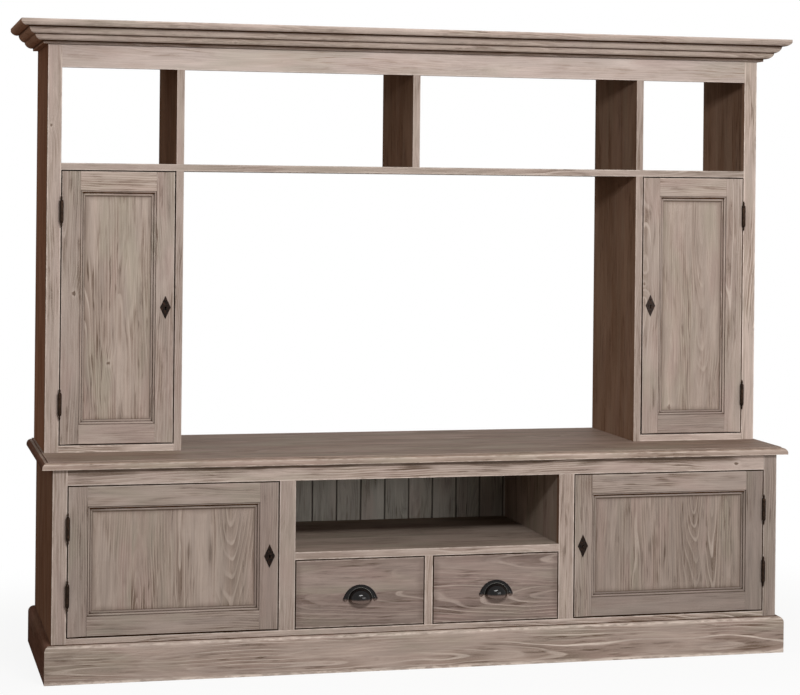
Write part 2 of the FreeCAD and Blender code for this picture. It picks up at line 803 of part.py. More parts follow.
def hinge_set(name, opening_edge, front, levels, on_door):
    """The hinge halves of one right-hand door. opening_edge is the X of the frame's edge."""
    hinge_x = opening_edge - cab.door_gap / 2
    door_edge = opening_edge - cab.door_gap
    if on_door:
        leaf_x = (door_edge - cab.leaf_thickness, door_edge)
    else:
        leaf_x = (opening_edge, opening_edge + cab.leaf_thickness)
    halves = []
    for i, level in enumerate(levels):
        halves.append(hinge_half(f"{name}_{i}", hinge_x, leaf_x, front, level, on_door))
    return halves


def frame_leaves():
    base = hinge_set("base_hinge", cupboard_out, face, hinge_levels(floor_level, rail_under), False)
    tower = hinge_set("tower_hinge", tower_out, hutch_face, hinge_levels(tower_floor, shelf_under), False)
    keep("hinge_frame_leaves", pair("hinge_frame_pair", group("frame_leaves", base + tower)))


# Locks: a case in the stile, a bolt in the case and a diamond plate on the face.
def keyhole(name, x, front, level):
    """Cutting shape: a round hole with a slot under it, from in front of the plate into the lock."""
    start = front - cab.overrun
    depth = cab.overrun + cab.frame_thickness / 2
    hole = rod(name + "_round", cab.keyhole_radius, depth, x, start, level, BACK)
    half = cab.keyhole_slot / 2
    levels = (level - cab.keyhole_drop, level)
    slot = block(name + "_slot", (x - half, x + half), (start, start + depth), levels)
    return fused(name, [hole, slot])


def diamond_plate(name, x, front, level, hole):
    half_width = cab.plate_width / 2
    half_height = cab.plate_height / 2
    sides = [(x - half_width, level), (x + half_width, level)]
    ends = [(x, level - half_height), (x, level + half_height)]
    plate_face = front - cab.plate_thickness
    body = prism(name + "_body", [sides[0], ends[0], sides[1], ends[1]], plate_face, front)
    ring = rod(name + "_ring", cab.ring_radius, cab.ring_height, x, plate_face - cab.ring_height, level, BACK)
    pins = []
    for i, side in enumerate((1, -1)):
        height = level + cab.plate_height * PLATE_PIN_SHARE * side
        pins.append(ball(f"{name}_pin_{i}", cab.plate_thickness, x, front - cab.plate_thickness, height))
    room = block(
        name + "_room",
        (x - cab.plate_width, x + cab.plate_width),
        (front - cab.overrun, front),
        (level - cab.plate_height, level + cab.plate_height),
    )
    return cut(name, overlap(name + "_front", fused(name + "_solid", [body, ring] + pins), room), [hole])


def lock_case(name, edge, front, level, hole):
    middle = front + cab.frame_thickness / 2
    half = lock_thickness / 2
    half_height = cab.lock_height / 2
    depth = (middle - half, middle + half)
    case = block(name + "_case", (edge, edge + lock_reach), depth, (level - half_height, level + half_height))
    channel_depth = (middle - half + cab.lock_wall, middle + half - cab.lock_wall)
    channel_levels = (level - cab.bolt_height / 2, level + cab.bolt_height / 2)
    channel_span = (edge - cab.overrun, edge + lock_reach - cab.lock_wall)
    channel = block(name + "_channel", channel_span, channel_depth, channel_levels)
    return cut(name, case, [channel, hole])


def lock_bolt(name, edge, front, level):
    middle = front + cab.frame_thickness / 2
    half = lock_thickness / 2 - cab.lock_wall - cab.bolt_clearance
    half_height = cab.bolt_height / 2 - cab.bolt_clearance
    span = (edge, edge + keyhole_inset - cab.keyhole_radius)
    return block(name, span, (middle - half, middle + half), (level - half_height, level + half_height))


# Doors: two stiles and two rails round a recessed panel. From the flat face inwards, the moulding has a
# small step, a quarter round and a ledge. It is mitred where a rail meets a stile.
def corners(x, z):
    """The corners of a rectangle, in order round it."""
    return [(x[0], z[0]), (x[1], z[0]), (x[1], z[1]), (x[0], z[1])]


def door_frame(name, x, z, front, tools):
    flat_x = (x[0] + cab.door_stile, x[1] - cab.door_stile)
    flat_z = (z[0] + cab.door_rail, z[1] - cab.door_rail)
    width = cab.moulding_width
    window_x = (flat_x[0] + width, flat_x[1] - width)
    window_z = (flat_z[0] + width, flat_z[1] - width)
    ledge = cab.moulding_ledge
    rim_x = (window_x[0] - ledge, window_x[1] + ledge)
    rim_z = (window_z[0] - ledge, window_z[1] + ledge)
    ledge_face = front + panel_thickness * LEDGE_SHARE
    step_face = front + panel_thickness * STEP_SHARE
    back = front + cab.frame_thickness
    body = body_of(name + "_blank")

    def layer(low, high, hole_x, hole_z):
        sketch = sketch_on(body, "XZ_Plane", -high)
        rectangle(sketch, x, z)
        rectangle(sketch, hole_x, hole_z)
        return padded(body, sketch, high - low)

    def beside_window(points):
        return not any(all_near([point], "x", side) for point in points for side in x)

    layer(ledge_face, back, window_x, window_z)
    wall = layer(step_face, ledge_face, rim_x, rim_z)
    radius = (ledge_face - step_face) * MOULDING_ROUND_SHARE
    rounded(body, wall, radius, {"y": step_face}, beside_window)
    layer(front, step_face, flat_x, flat_z)

    recess = front + panel_thickness
    tongue = cab.panel_tongue
    slot = block(
        name + "_slot",
        (window_x[0] - tongue, window_x[1] + tongue),
        (recess, recess + panel_thickness),
        (window_z[0] - tongue, window_z[1] + tongue),
    )
    frame = cut(name + "_frame_cut", body, [slot] + tools)
    flat = corners(flat_x, flat_z)
    window = corners(window_x, window_z)
    low_in = (flat_x[0], z[0])
    low_out = (flat_x[1], z[0])
    high_in = (flat_x[0], z[1])
    high_out = (flat_x[1], z[1])
    outer = corners(x, z)
    members = {
        "stile_in": [outer[0], low_in, flat[0], window[0], window[3], flat[3], high_in, outer[3]],
        "stile_out": [low_out, outer[1], outer[2], high_out, flat[2], window[2], window[1], flat[1]],
        "rail_low": [low_in, low_out, flat[1], window[1], window[0], flat[0]],
        "rail_high": [high_in, flat[3], window[3], window[2], flat[2], high_out],
    }
    pieces = []
    for member, points in members.items():
        room = prism(f"{name}_{member}", points, front, back)
        pieces.append(overlap(f"{name}_{member}_piece", frame, room))
    reach = tongue - cab.panel_play
    panel = block(
        name + "_panel",
        (window_x[0] - reach, window_x[1] + reach),
        (recess, recess + panel_thickness),
        (window_z[0] - reach, window_z[1] + reach),
    )
    return group(name + "_frame", pieces), panel


def door(name, opening_x, opening_z, front):
    """The sub-parts of the right-hand door in this opening, and their mirror images."""
    gap = cab.door_gap
    x = (opening_x[0] + gap, opening_x[1] - gap)
    z = (opening_z[0] + gap, opening_z[1] - gap)
    level = (opening_z[0] + opening_z[1]) / 2
    key_x = x[0] + keyhole_inset
    levels = hinge_levels(*opening_z)
    hole = keyhole(name + "_keyhole", key_x, front, level)
    middle = front + cab.frame_thickness / 2
    half = lock_thickness / 2
    half_height = cab.lock_height / 2
    lock_room = block(
        name + "_lock_room",
        (x[0] - cab.overrun, x[0] + lock_reach),
        (middle - half, middle + half),
        (level - half_height, level + half_height),
    )
    pockets = []
    for i, hinge_level in enumerate(levels):
        pockets.append(leaf_pocket(f"{name}_pocket_{i}", x[1], -1, front, hinge_level))
    frame, panel = door_frame(name, x, z, front, [lock_room, hole] + pockets)
    leaves = group(name + "_leaves", hinge_set(name + "_hinge", opening_x[1], front, levels, True))
    plate = diamond_plate(name + "_plate", key_x, front, level, hole)
    case = lock_case(name + "_lock_case", x[0], front, level, hole)
    pieces = {
        "frame": frame,
        "panel": panel,
        "hinge_leaves": leaves,
        "lock": group(name + "_lock_group", [plate, case]),
        "bolt": lock_bolt(name + "_bolt_bar", x[0], front, level),
    }
    for piece, item in pieces.items():
        keep(f"{name}_right_{piece}", item)
        keep(f"{name}_left_{piece}", mirrored(f"{name}_{piece}_mirror", item))


# Drawers.
def cup_pull(name, x, level):
    """Half-round flange on round feet, a hollow cup that is open below, and its two screws."""
    foot_level = level + cab.screw_inset
    centre = level - cab.pull_drop
    lip = level + cab.cup_lift
    front = face - cab.pull_flange
    flange = rod(name + "_disc", cab.pull_radius, cab.pull_flange, x, front, centre, BACK)
    wide = (x - cab.pull_radius, x + cab.pull_radius)
    upper = block(name + "_upper", wide, (front, face), (foot_level, centre + cab.pull_radius))
    plates = [overlap(name + "_flange", flange, upper)]
    for i, side in enumerate((1, -1)):
        foot_x = x + (cab.pull_radius - cab.screw_inset) * side
        foot = rod(f"{name}_foot_{i}", cab.screw_inset, cab.pull_flange, foot_x, front, foot_level, BACK)
        plates.append(foot)
    outer = shell_ball(name + "_outer", cab.cup_radius, cab.pull_projection, cab.cup_height, x, face, lip)
    room = body_of(name + "_room")
    sketch = sketch_on(room, "YZ_Plane", x)
    nose = face - cab.pull_projection
    crown = lip + cab.cup_height
    outline(sketch, [(nose, lip - cab.cup_drop), (face, lip), (face, crown), (nose, crown)])
    padded(room, sketch, cab.cup_radius * 2, both_ways=True)
    solid = fused(name + "_solid", plates + [overlap(name + "_cup", outer, room)])
    wall = cab.cup_wall
    inner_sizes = (cab.cup_radius - wall, cab.pull_projection - wall, cab.cup_height - wall)
    inner = shell_ball(name + "_inner", *inner_sizes, x, face, lip)
    tools = [inner]
    screws = []
    for i, side in enumerate((1, -1)):
        screw_x = x + (cab.pull_radius - cab.screw_inset) * side
        shank_length = cab.pull_flange + cab.screw_length
        shank = rod(f"{name}_shank_{i}", cab.screw_radius, shank_length, screw_x, front, foot_level, BACK)
        head_ball = ball(f"{name}_head_ball_{i}", cab.screw_head, screw_x, front, foot_level)
        reach = (screw_x - cab.screw_head, screw_x + cab.screw_head)
        levels = (foot_level - cab.screw_head, foot_level + cab.screw_head)
        head_room = block(f"{name}_head_room_{i}", reach, (front - cab.screw_head / 2, front), levels)
        head = overlap(f"{name}_head_{i}", head_ball, head_room)
        screws.append(fused(f"{name}_screw_{i}", [head, shank]))
        hole_radius = cab.screw_radius + cab.screw_clearance
        tools.append(rod(f"{name}_hole_{i}", hole_radius, shank_length, screw_x, front, foot_level, BACK))
    return group(name, [cut(name + "_shell", solid, tools)] + screws), tools[1:]


def drawer():
    half_divider = cab.drawer_divider_width / 2
    opening = (half_divider, niche_half)
    gap = cab.door_gap
    middle = (half_divider + niche_half) / 2
    pull, holes = cup_pull("pull", middle, floor_level + cab.pull_foot)
    front_levels = (floor_level + gap, drawer_top - gap)
    front_span = (opening[0] + gap, opening[1] - gap)
    board = block("drawer_front_board", front_span, (face, inner_face), front_levels)
    front = cut("drawer_front", board, holes)

    left = opening[0] + cab.drawer_play
    right = opening[1] - cab.drawer_play
    wall = cab.drawer_side
    low = floor_level + cab.drawer_lift
    levels = (low, low + (drawer_top - floor_level) * DRAWER_SIDE_SHARE)
    end = base_back_face - cab.drawer_room
    depth = (inner_face, end)
    bottom_low = low + cab.drawer_bottom_lift
    bottom_levels = (bottom_low, bottom_low + cab.drawer_bottom)
    groove = cab.drawer_groove
    bottom_span = (left + wall - groove, right - wall + groove)
    bottom = block("drawer_bottom", bottom_span, (inner_face, end), bottom_levels)
    sides = [
        cut("drawer_side_a", block("drawer_side_a_board", (left, left + wall), depth, levels), [bottom]),
        cut("drawer_side_b", block("drawer_side_b_board", (right - wall, right), depth, levels), [bottom]),
    ]
    back_levels = (bottom_levels[1], levels[1])
    back = block("drawer_back", (left + wall, right - wall), (end - wall, end), back_levels)
    pieces = {"front": front, "box": group("drawer_box", sides + [back]), "bottom": bottom, "pull": pull}
    for piece, item in pieces.items():
        keep(f"drawer_right_{piece}", item)
        keep(f"drawer_left_{piece}", mirrored(f"drawer_{piece}_mirror", item))


def drawer_stops():
    half_divider = cab.drawer_divider_width / 2
    end = base_back_face - cab.drawer_room + cab.stop_gap
    levels = (floor_level, floor_level + cab.stop_length)
    depth = (end, end + cab.stop_length)
    left = block("stop_in", (half_divider, half_divider + cab.stop_length), depth, levels)
    right = block("stop_out", (niche_half - cab.stop_length, niche_half), depth, levels)
    keep("drawer_stops", pair("stop_pair", group("stops", [left, right])))


# Builds every sub-part, checks it and writes it to its own file.
def build():
    plinth_front()
    plinth_returns()
    base_sides()
    base_bottom()
    partitions()
    base_frame()
    niche_shelf()
    drawer_divider()
    base_back()
    base_top()
    tower_bottoms()
    hutch_sides()
    tower_panels()
    hutch_shelf()
    upper_dividers()
    hutch_top()
    hutch_frame()
    tower_backs()
    cornice_front()
    cornice_returns()
    shelves()
    frame_leaves()
    door("base_door", (cupboard_in, cupboard_out), (floor_level, rail_under), face)
    door("tower_door", (tower_in, tower_out), (tower_floor, shelf_under), hutch_face)
    drawer()
    drawer_stops()
    doc.recompute()


def check():
    for item in doc.Objects:
        if "Invalid" in item.State or "Error" in item.State:
            raise RuntimeError(f"{item.Label} failed: {item.State}")
    for name, item in nodes:
        if item.Shape.isNull() or not item.Shape.isValid() or not item.Shape.Solids:
            raise RuntimeError(f"{name} has no valid solid")


def write():
    os.makedirs("parts", exist_ok=True)
    for name, item in nodes:
        item.Shape.exportStep(f"parts/{name}.step")
        volume = item.Shape.Volume / 1000
        print(f"{name}: {len(item.Shape.Solids)} solids, {volume:.1f} cm3")
    print(f"{len(nodes)} sub-parts")


build()
check()
write()
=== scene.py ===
# %% [markdown]
# # A television cabinet in limed pine
# The construction of the cabinet comes in as a fixed frame: every board, door, drawer and hinge is
# already there at its real size, in metres, with the origin on the floor in the middle of the
# cabinet and the front towards -Y. This lesson gives it its looks: eased boards with their own
# grain, a limed and waxed finish, dark iron fittings, light and a camera.

# %% Load the frame
import functools
import json
import math
import random
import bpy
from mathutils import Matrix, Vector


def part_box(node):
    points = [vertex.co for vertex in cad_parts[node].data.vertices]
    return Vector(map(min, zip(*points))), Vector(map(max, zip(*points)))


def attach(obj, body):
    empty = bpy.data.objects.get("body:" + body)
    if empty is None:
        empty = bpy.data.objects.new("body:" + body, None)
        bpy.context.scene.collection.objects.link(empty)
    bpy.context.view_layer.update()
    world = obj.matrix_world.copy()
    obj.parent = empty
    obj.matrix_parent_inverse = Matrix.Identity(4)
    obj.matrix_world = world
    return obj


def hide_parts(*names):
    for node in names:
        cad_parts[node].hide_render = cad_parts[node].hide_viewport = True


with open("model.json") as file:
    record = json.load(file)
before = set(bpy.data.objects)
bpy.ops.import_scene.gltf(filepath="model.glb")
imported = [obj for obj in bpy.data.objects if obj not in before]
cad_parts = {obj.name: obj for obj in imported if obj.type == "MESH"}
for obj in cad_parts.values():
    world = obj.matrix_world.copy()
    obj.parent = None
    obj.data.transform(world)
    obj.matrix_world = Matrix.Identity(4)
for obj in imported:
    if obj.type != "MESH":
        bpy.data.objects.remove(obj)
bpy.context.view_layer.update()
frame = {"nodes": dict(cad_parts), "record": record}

from types import SimpleNamespace

import bmesh
import bpy
from mathutils import Matrix, Vector

nodes = frame["nodes"]
bodies = frame["record"]["behaviour"]["bodies"]
body_of = {node: body for body, members in bodies.items() for node in members}
MM = 0.001

# %% [markdown]
# ## Camera
# The photograph was taken from the left of the cabinet's middle, at about a standing person's
# height, with the camera held level and shifted down like an architect's lens, so uprights stay
# upright. A long lens from six metres gives the mild perspective. Its place could be found by
# trial, but a fit of the frame's corners to the picture's gives it to about a pixel.

# %% Camera
PICTURE_WIDTH = 800
PICTURE_HEIGHT = 695
SENSOR = 36.0
FOCAL_PIXELS = 2145.918
HORIZON_ROW = 186.613
CAMERA_PLACE = Vector((-1.594716, -6.270551, 1.387763))
CAMERA_YAW = math.radians(14.021)
CAMERA_ROLL = math.radians(-0.594)
LEVEL = math.radians(90)

camera_data = bpy.data.cameras.new("camera")
camera_data.sensor_width = SENSOR
camera_data.lens = FOCAL_PIXELS * SENSOR / PICTURE_WIDTH
camera_data.shift_y = (HORIZON_ROW - PICTURE_HEIGHT / 2) / PICTURE_WIDTH
camera = bpy.data.objects.new("camera", camera_data)
bpy.context.scene.collection.objects.link(camera)
camera.location = CAMERA_PLACE
camera.rotation_euler = (LEVEL, CAMERA_ROLL, -CAMERA_YAW)
bpy.context.scene.camera = camera
print("lens:", round(camera_data.lens, 2), "mm, shift", round(camera_data.shift_y, 4))

# %% [markdown]
# ## Colours and nodes
# Finishes are written as the hex colours that a picture program shows. Blender works in linear
# light, so one function turns them. One other function adds a node, sets it and links it, which
# keeps each material short enough to read.


# %% Helpers for materials
EASED = {"interpolation_type": "SMOOTHSTEP"}  # a Map Range node that starts and ends softly


def linear(code):
    """Linear colour from an sRGB hex code."""
    parts = [int(code[i:i + 2], 16) / 255 for i in (1, 3, 5)]
    bright = [c / 12.92 if c <= 0.04045 else ((c + 0.055) / 1.055) ** 2.4 for c in parts]
    return (*bright, 1.0)


def add(tree, kind, values=(), out=0, **settings):
    """Adds a node and returns one of its outputs. values go to its inputs, by order or name."""
    made = tree.nodes.new("ShaderNode" + kind)
    for name, value in settings.items():
        setattr(made, name, value)
    for socket, value in values.items() if isinstance(values, dict) else enumerate(values):
        if isinstance(value, bpy.types.NodeSocket):
            tree.links.new(value, made.inputs[socket])
        else:
            made.inputs[socket].default_value = value
    return made.outputs[out]


def new_material(name):
    """A material with its node tree, its shader and a function that adds nodes to it."""
    material = bpy.data.materials.new(name)
    material.use_nodes = True
    tree = material.node_tree
    return material, tree, tree.nodes["Principled BSDF"], functools.partial(add, tree)


# %% [markdown]
# ## Floor and background
# The cabinet stands on white paper. Near it the paper is matt and keeps the shadow, and further
# away it fades to plain white. The floor and the background look white to the camera and in the
# metal. For all other light they are dim, or they would light the cabinet from below.

# %% Floor
FLOOR_SIZE = 30.0
FLOOR_FADE_NEAR = 0.75
FLOOR_FADE_FAR = 1.7
FLOOR_LONG = 1.6
NEAR_WHITENESS = 0.9
WHITE = (1, 1, 1, 1)


def see_ray(node):
    """1 for rays from the camera, in reflections and through glass, 0 for light that spreads."""
    paths = node("LightPath").node.outputs
    seen = node("Math", [paths["Is Camera Ray"], paths["Is Glossy Ray"]], operation="MAXIMUM")
    return node("Math", [seen, paths["Is Transmission Ray"]], operation="MAXIMUM")


def floor_material():
    """Matt white paper near the cabinet, and plain white further away."""
    material, tree, shader, node = new_material("paper_floor")
    tree.nodes.remove(shader)
    near_paper = node("BsdfDiffuse", {"Color": linear("#F4F4F3")})
    dim_paper = node("BsdfDiffuse", {"Color": linear("#84796F")})
    white = node("Emission", {"Color": WHITE, "Strength": 1.0})
    place = node("TexCoord", out="Object")
    flat = node("VectorMath", [place, (1 / FLOOR_LONG, 1, 0)], operation="MULTIPLY")
    distance = node("VectorMath", [flat], out="Value", operation="LENGTH")
    whiteness = node("MapRange", [distance, FLOOR_FADE_NEAR, FLOOR_FADE_FAR, NEAR_WHITENESS, 1.0],
                     **EASED)
    shown = node("MixShader", [whiteness, near_paper, white])
    result = node("MixShader", [see_ray(node), dim_paper, shown])
    tree.links.new(result, tree.nodes["Material Output"].inputs["Surface"])
    return material


def floor():
    bm = bmesh.new()
    bmesh.ops.create_grid(bm, x_segments=1, y_segments=1, size=FLOOR_SIZE / 2)
    mesh = bpy.data.meshes.new("floor")
    bm.to_mesh(mesh)
    bm.free()
    plane = bpy.data.objects.new("floor", mesh)
    bpy.context.scene.collection.objects.link(plane)
    plane.data.materials.append(floor_material())


floor()
print("floor:", FLOOR_SIZE, "m wide")

# %% [markdown]
# ## Light
# The shadows in the open compartments show how the real cabinet was lit. They are hard along the
# top and even from left to right, so the main lamp is a wide strip hung high in front. A larger and
# weaker lamp low on the right softens them. A little even light fills the room, and the left side
# of the cabinet, which neither lamp reaches, stays dark and warm.

# %% Light
def lamp(name, place, aim, size, power, colour):
    data = bpy.data.lights.new(name, "AREA")
    data.shape = "RECTANGLE"
    data.size, data.size_y = size
    data.energy = power
    data.color = colour
    lamp_object = bpy.data.objects.new(name, data)
    bpy.context.scene.collection.objects.link(lamp_object)
    lamp_object.location = place
    towards = Vector(aim) - Vector(place)
    lamp_object.rotation_euler = towards.to_track_quat("-Z", "Y").to_euler()


def room_light(colour, strength):
    world = bpy.data.worlds.new("studio")
    bpy.context.scene.world = world
    world.use_nodes = True
    tree = world.node_tree
    node = functools.partial(add, tree)
    dim = node("Background", {"Color": colour, "Strength": strength})
    white = node("Background", {"Color": WHITE, "Strength": 1.0})
    result = node("MixShader", [see_ray(node), dim, white])
    tree.links.new(result, tree.nodes["World Output"].inputs["Surface"])


lamp("strip", place=(0.0, -3.2, 2.3), aim=(0.0, 0.0, 0.9), size=(1.7, 0.35), power=74,
     colour=(1.0, 0.995, 0.99))
lamp("fill", place=(2.2, -5.0, 1.0), aim=(0.0, 0.0, 0.8), size=(2.4, 1.4), power=60,
     colour=(1.0, 0.99, 0.98))
room_light(colour=(1.0, 0.925, 0.86, 1), strength=0.36)
bpy.context.scene.view_settings.view_transform = "Standard"

# %% [markdown]
# ## Boards
# Joiners round every edge a little with sandpaper, and each board has its own grain. The frame's
# solids are sharp, and one node can hold several boards that touch. Modelling the boards anew would
# give them soft edges too, but a copy keeps the joints and mouldings where the frame has them. So
# each node's mesh is copied and taken apart into its closed solids, and the flat faces are made
# whole again, because a bevel needs whole edges.

# %% Take a node apart
MERGE = 0.001 * MM
FLAT_LIMIT = math.radians(0.5)
ROUNDING = 6  # decimals of a metre, at which two corners count as one


def closed_runs(mesh):
    """The mesh's triangles as lists, one for each closed solid, in the order they are stored.

    A solid is closed when each of its edges has been met in both directions.
    """
    spots = {}
    ids = [spots.setdefault(tuple(round(c, ROUNDING) for c in v.co), len(spots))
           for v in mesh.vertices]
    waiting = {}
    open_count = 0
    run = []
    for polygon in mesh.polygons:
        run.append([mesh.vertices[i].co for i in polygon.vertices])
        corners = [ids[i] for i in polygon.vertices]
        for a, b in zip(corners, corners[1:] + corners[:1]):
            if waiting.get((b, a), 0) > 0:
                waiting[(b, a)] -= 1
                open_count -= 1
            else:
                waiting[(a, b)] = waiting.get((a, b), 0) + 1
                open_count += 1
        if open_count == 0:
            yield run
            run = []


def make_whole(bm):
    """Merges the loose triangles' corners and turns flat groups of them into one face each."""
    bmesh.ops.remove_doubles(bm, verts=bm.verts, dist=MERGE)
    bmesh.ops.dissolve_limit(bm, angle_limit=FLAT_LIMIT, verts=bm.verts, edges=bm.edges)


def whole_solid(run):
    bm = bmesh.new()
    for triangle in run:
        bm.faces.new([bm.verts.new(co) for co in triangle])
    make_whole(bm)
    return bm


# %% [markdown]
# The edges that stand out are bevelled, 0.4 mm wide, and those in a corner stay sharp. Doors and
# drawer fronts have a wider round along their border, where wax gathers, and it is painted dark as
# the shade in the gap round them.

# %% Round the edges
EASE = 0.4 * MM
RIM_EASE = 1.5 * MM
NEAR = 0.01 * MM
EASE_LIMIT = math.radians(25)
SHORT_EDGE = 15 * MM


def outward_edges(bm, limit=EASE_LIMIT, shortest=SHORT_EDGE):
    return [e for e in bm.edges
            if e.calc_length() > shortest and e.calc_face_angle_signed(0) > limit]


def rim_edges(bm, low, high):
    """The front edges along the border of a door or drawer front with these box corners."""
    def lies_at(edge, axis, place):
        return all(abs(v.co[axis] - place) < NEAR for v in edge.verts)

    borders = ((0, low.x), (0, high.x), (2, low.z), (2, high.z))
    return [e for e in bm.edges
            if lies_at(e, 1, low.y) and any(lies_at(e, *border) for border in borders)]


def round_off(bm, edges, width):
    """Rounds edges and returns the new faces."""
    made = bmesh.ops.bevel(bm, geom=edges, offset=width, segments=2, profile=0.5,
                           affect="EDGES", material=-1, clamp_overlap=False)
    return made["faces"]


# %% [markdown]
# Each board keeps five attributes, from which the pine finish below draws its grain: a point's own
# coordinates along, across and through the board, the board's half size, a random seed, a tone, and
# how much each face turns round an edge. The seeds come from the node's name, so each run gives the
# same grain.

# %% Mark the board
HALF_WAY = 1 - math.cos(math.radians(45))
BOARD_VECTORS = ("rel", "half", "seed")


def board_axes(size, along):
    """Axis numbers along, across and through a board. along is None for its longest side."""
    order = sorted(range(3), key=lambda i: -size[i])
    first = "XYZ".index(along) if along else order[0]
    thin = order[2]
    across = 3 - first - thin
    return first, across, thin


def board_layers(bm):
    """Adds the five attributes and returns them: three vectors, the tone and the faces' turn."""
    vectors = [bm.verts.layers.float_vector.new(name) for name in BOARD_VECTORS]
    return vectors, bm.verts.layers.float.new("tone"), bm.faces.layers.float.new("arris")


def mark_board(bm, lows, highs, axes, dice, tone):
    (own, half, seed), tone_layer, arris = board_layers(bm)
    centre = [(a + b) / 2 for a, b in zip(lows, highs)]
    half_size = Vector([(highs[i] - lows[i]) / 2 for i in axes])
    luck = Vector([dice.random() for _ in range(3)])
    bm.normal_update()
    for v in bm.verts:
        v[own] = Vector([v.co[i] - centre[i] for i in axes])
        v[half] = half_size
        v[seed] = luck
        v[tone_layer] = tone
    for face in bm.faces:
        face[arris] = ((1 - max(abs(c) for c in face.normal)) / HALF_WAY) ** 2


# %% [markdown]
# Now a node can be dressed. The new piece stands in for its node and rides on the same body. Its
# flat faces are shaded flat and its rounds smooth.

# %% Dress a node
SMOOTH_LIMIT = math.radians(24)


def new_piece(name, bm, materials, node_name):
    """Turns a bmesh into a piece that stands for a node of the frame, and rides where it rides."""
    for edge in bm.edges:
        edge.smooth = edge.calc_face_angle(0) < SMOOTH_LIMIT
    for face in bm.faces:
        face.smooth = True
    mesh = bpy.data.meshes.new(name)
    bm.to_mesh(mesh)
    bm.free()
    for material in materials:
        mesh.materials.append(material)
    piece = bpy.data.objects.new(name, mesh)
    bpy.context.scene.collection.objects.link(piece)
    weighted = piece.modifiers.new("weighted_normals", "WEIGHTED_NORMAL")
    weighted.keep_sharp = True
    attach(piece, body_of[node_name])
    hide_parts(node_name)
    return piece


def extent(bm):
    """The lowest and the highest coordinate of a bmesh on each axis."""
    return [[end(v.co[i] for v in bm.verts) for i in range(3)] for end in (min, max)]


def move_into(whole, part):
    """Adds one bmesh to another and drops it."""
    mesh = bpy.data.meshes.new("part")
    part.to_mesh(mesh)
    part.free()
    whole.from_mesh(mesh)
    bpy.data.meshes.remove(mesh)


def dressed(node_name, finishes, pick, along, tones, has_rim):
    """A copy of a node as eased boards. pick gives the number of a face's finish by its normal.

    tones are for its boards in order. The faces of a rim have the second finish, which for doors
    and drawer fronts is the dark one that paints the gap's shade.
    """
    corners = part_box(node_name)
    dice = random.Random(node_name)
    whole = bmesh.new()
    board_layers(whole)
    count = 0
    for run in closed_runs(nodes[node_name].data):
        board = whole_solid(run)
        lows, highs = extent(board)
        axes = board_axes([high - low for low, high in zip(lows, highs)], along)
        rim = rim_edges(board, *corners) if has_rim else []
        round_off(board, [e for e in outward_edges(board) if e not in rim], EASE)
        rim_faces = ()
        if has_rim:
            rim_faces = set(round_off(board, rim_edges(board, *corners), RIM_EASE))
        mark_board(board, *extent(board), axes, dice, tones[count % len(tones)])
        for face in board.faces:
            # Rim faces take the second finish, which on doors and drawer fronts paints the gap's
            # shade dark.
            face.material_index = 1 if face in rim_faces else pick(face.normal)
        move_into(whole, board)
        count += 1
    new_piece(node_name + "_board", whole, finishes, node_name)
    return count


# %% [markdown]
# ## Pine
# The cabinet is softwood, stained grey-brown, limed and waxed. Close up that is a warm grey with
# pale latewood lines, where the lime stayed in the ridges, each followed by a darker shade in the
# soft wood. On top lie short dark strokes, a few small knots with a light ring, and pale edges,
# partly rubbed and partly a painted highlight on the rounds. A picture of wood could be laid on,
# but it would repeat and stretch. So the wood is drawn from rules, one step of the recipe at a
# time.
# Each step adds its nodes to the material, and keeps in p the sockets that later steps read.
#
# The first step asks where a point lies in its board. Wide panels are glued from staves about 12 cm
# wide, and each stave is thrown to another place in every pattern, so no two look alike.

# %% Place in the board
STAVE = 118 * MM
THROW = (14, 14, 14)  # metres
MIDDLE = (0.5, 0.5, 0.5)


def place_in_board(node, p):
    """The point's place in its board and in its stave, in metres, and the stave's own dice."""
    p.own = node("Attribute", out="Vector", attribute_name="rel")
    p.half = node("Attribute", out="Vector", attribute_name="half")
    seed = node("Attribute", out="Vector", attribute_name="seed")
    p.u, p.v, w = node("SeparateXYZ", [p.own]).node.outputs
    p.half_u, p.half_v = node("SeparateXYZ", [p.half]).node.outputs[:2]
    p.luck = node("SeparateXYZ", [seed]).node.outputs
    staves = node("Math", [p.half_v, 2 / STAVE], operation="MULTIPLY")
    staves = node("Math", [staves], operation="ROUND")
    staves = node("Math", [staves, 1.0], operation="MAXIMUM")
    stave_half = node("Math", [p.half_v, staves], operation="DIVIDE")
    across = node("Math", [p.v, p.half_v], operation="ADD")
    across = node("Math", [across, stave_half], operation="DIVIDE")
    across = node("Math", [across, 0.5], operation="MULTIPLY")
    stave = node("Math", [across], operation="FLOOR")
    within = node("Math", [across], operation="FRACT")
    within = node("Math", [within, 2.0, -1.0], operation="MULTIPLY_ADD")
    v_in = node("Math", [within, stave_half], operation="MULTIPLY")
    key = node("CombineXYZ", [stave, p.luck[0], p.luck[1]])
    dice = node("TexWhiteNoise", [key], out="Color", noise_dimensions="3D")
    p.dice = node("VectorMath", [dice, MIDDLE], operation="SUBTRACT")
    p.throw = node("SeparateXYZ", [p.dice]).node.outputs
    p.in_stave = node("CombineXYZ", [p.u, v_in, w])
    p.spot = node("VectorMath", [p.dice, THROW, p.in_stave], operation="MULTIPLY_ADD")


# %% [markdown]
# A knot is the end of a small branch, up to 16 mm wide, which pushes the rings out round it. One
# sits in some cells of a coarse net. Its dark heart has a frayed edge and a pale ring.

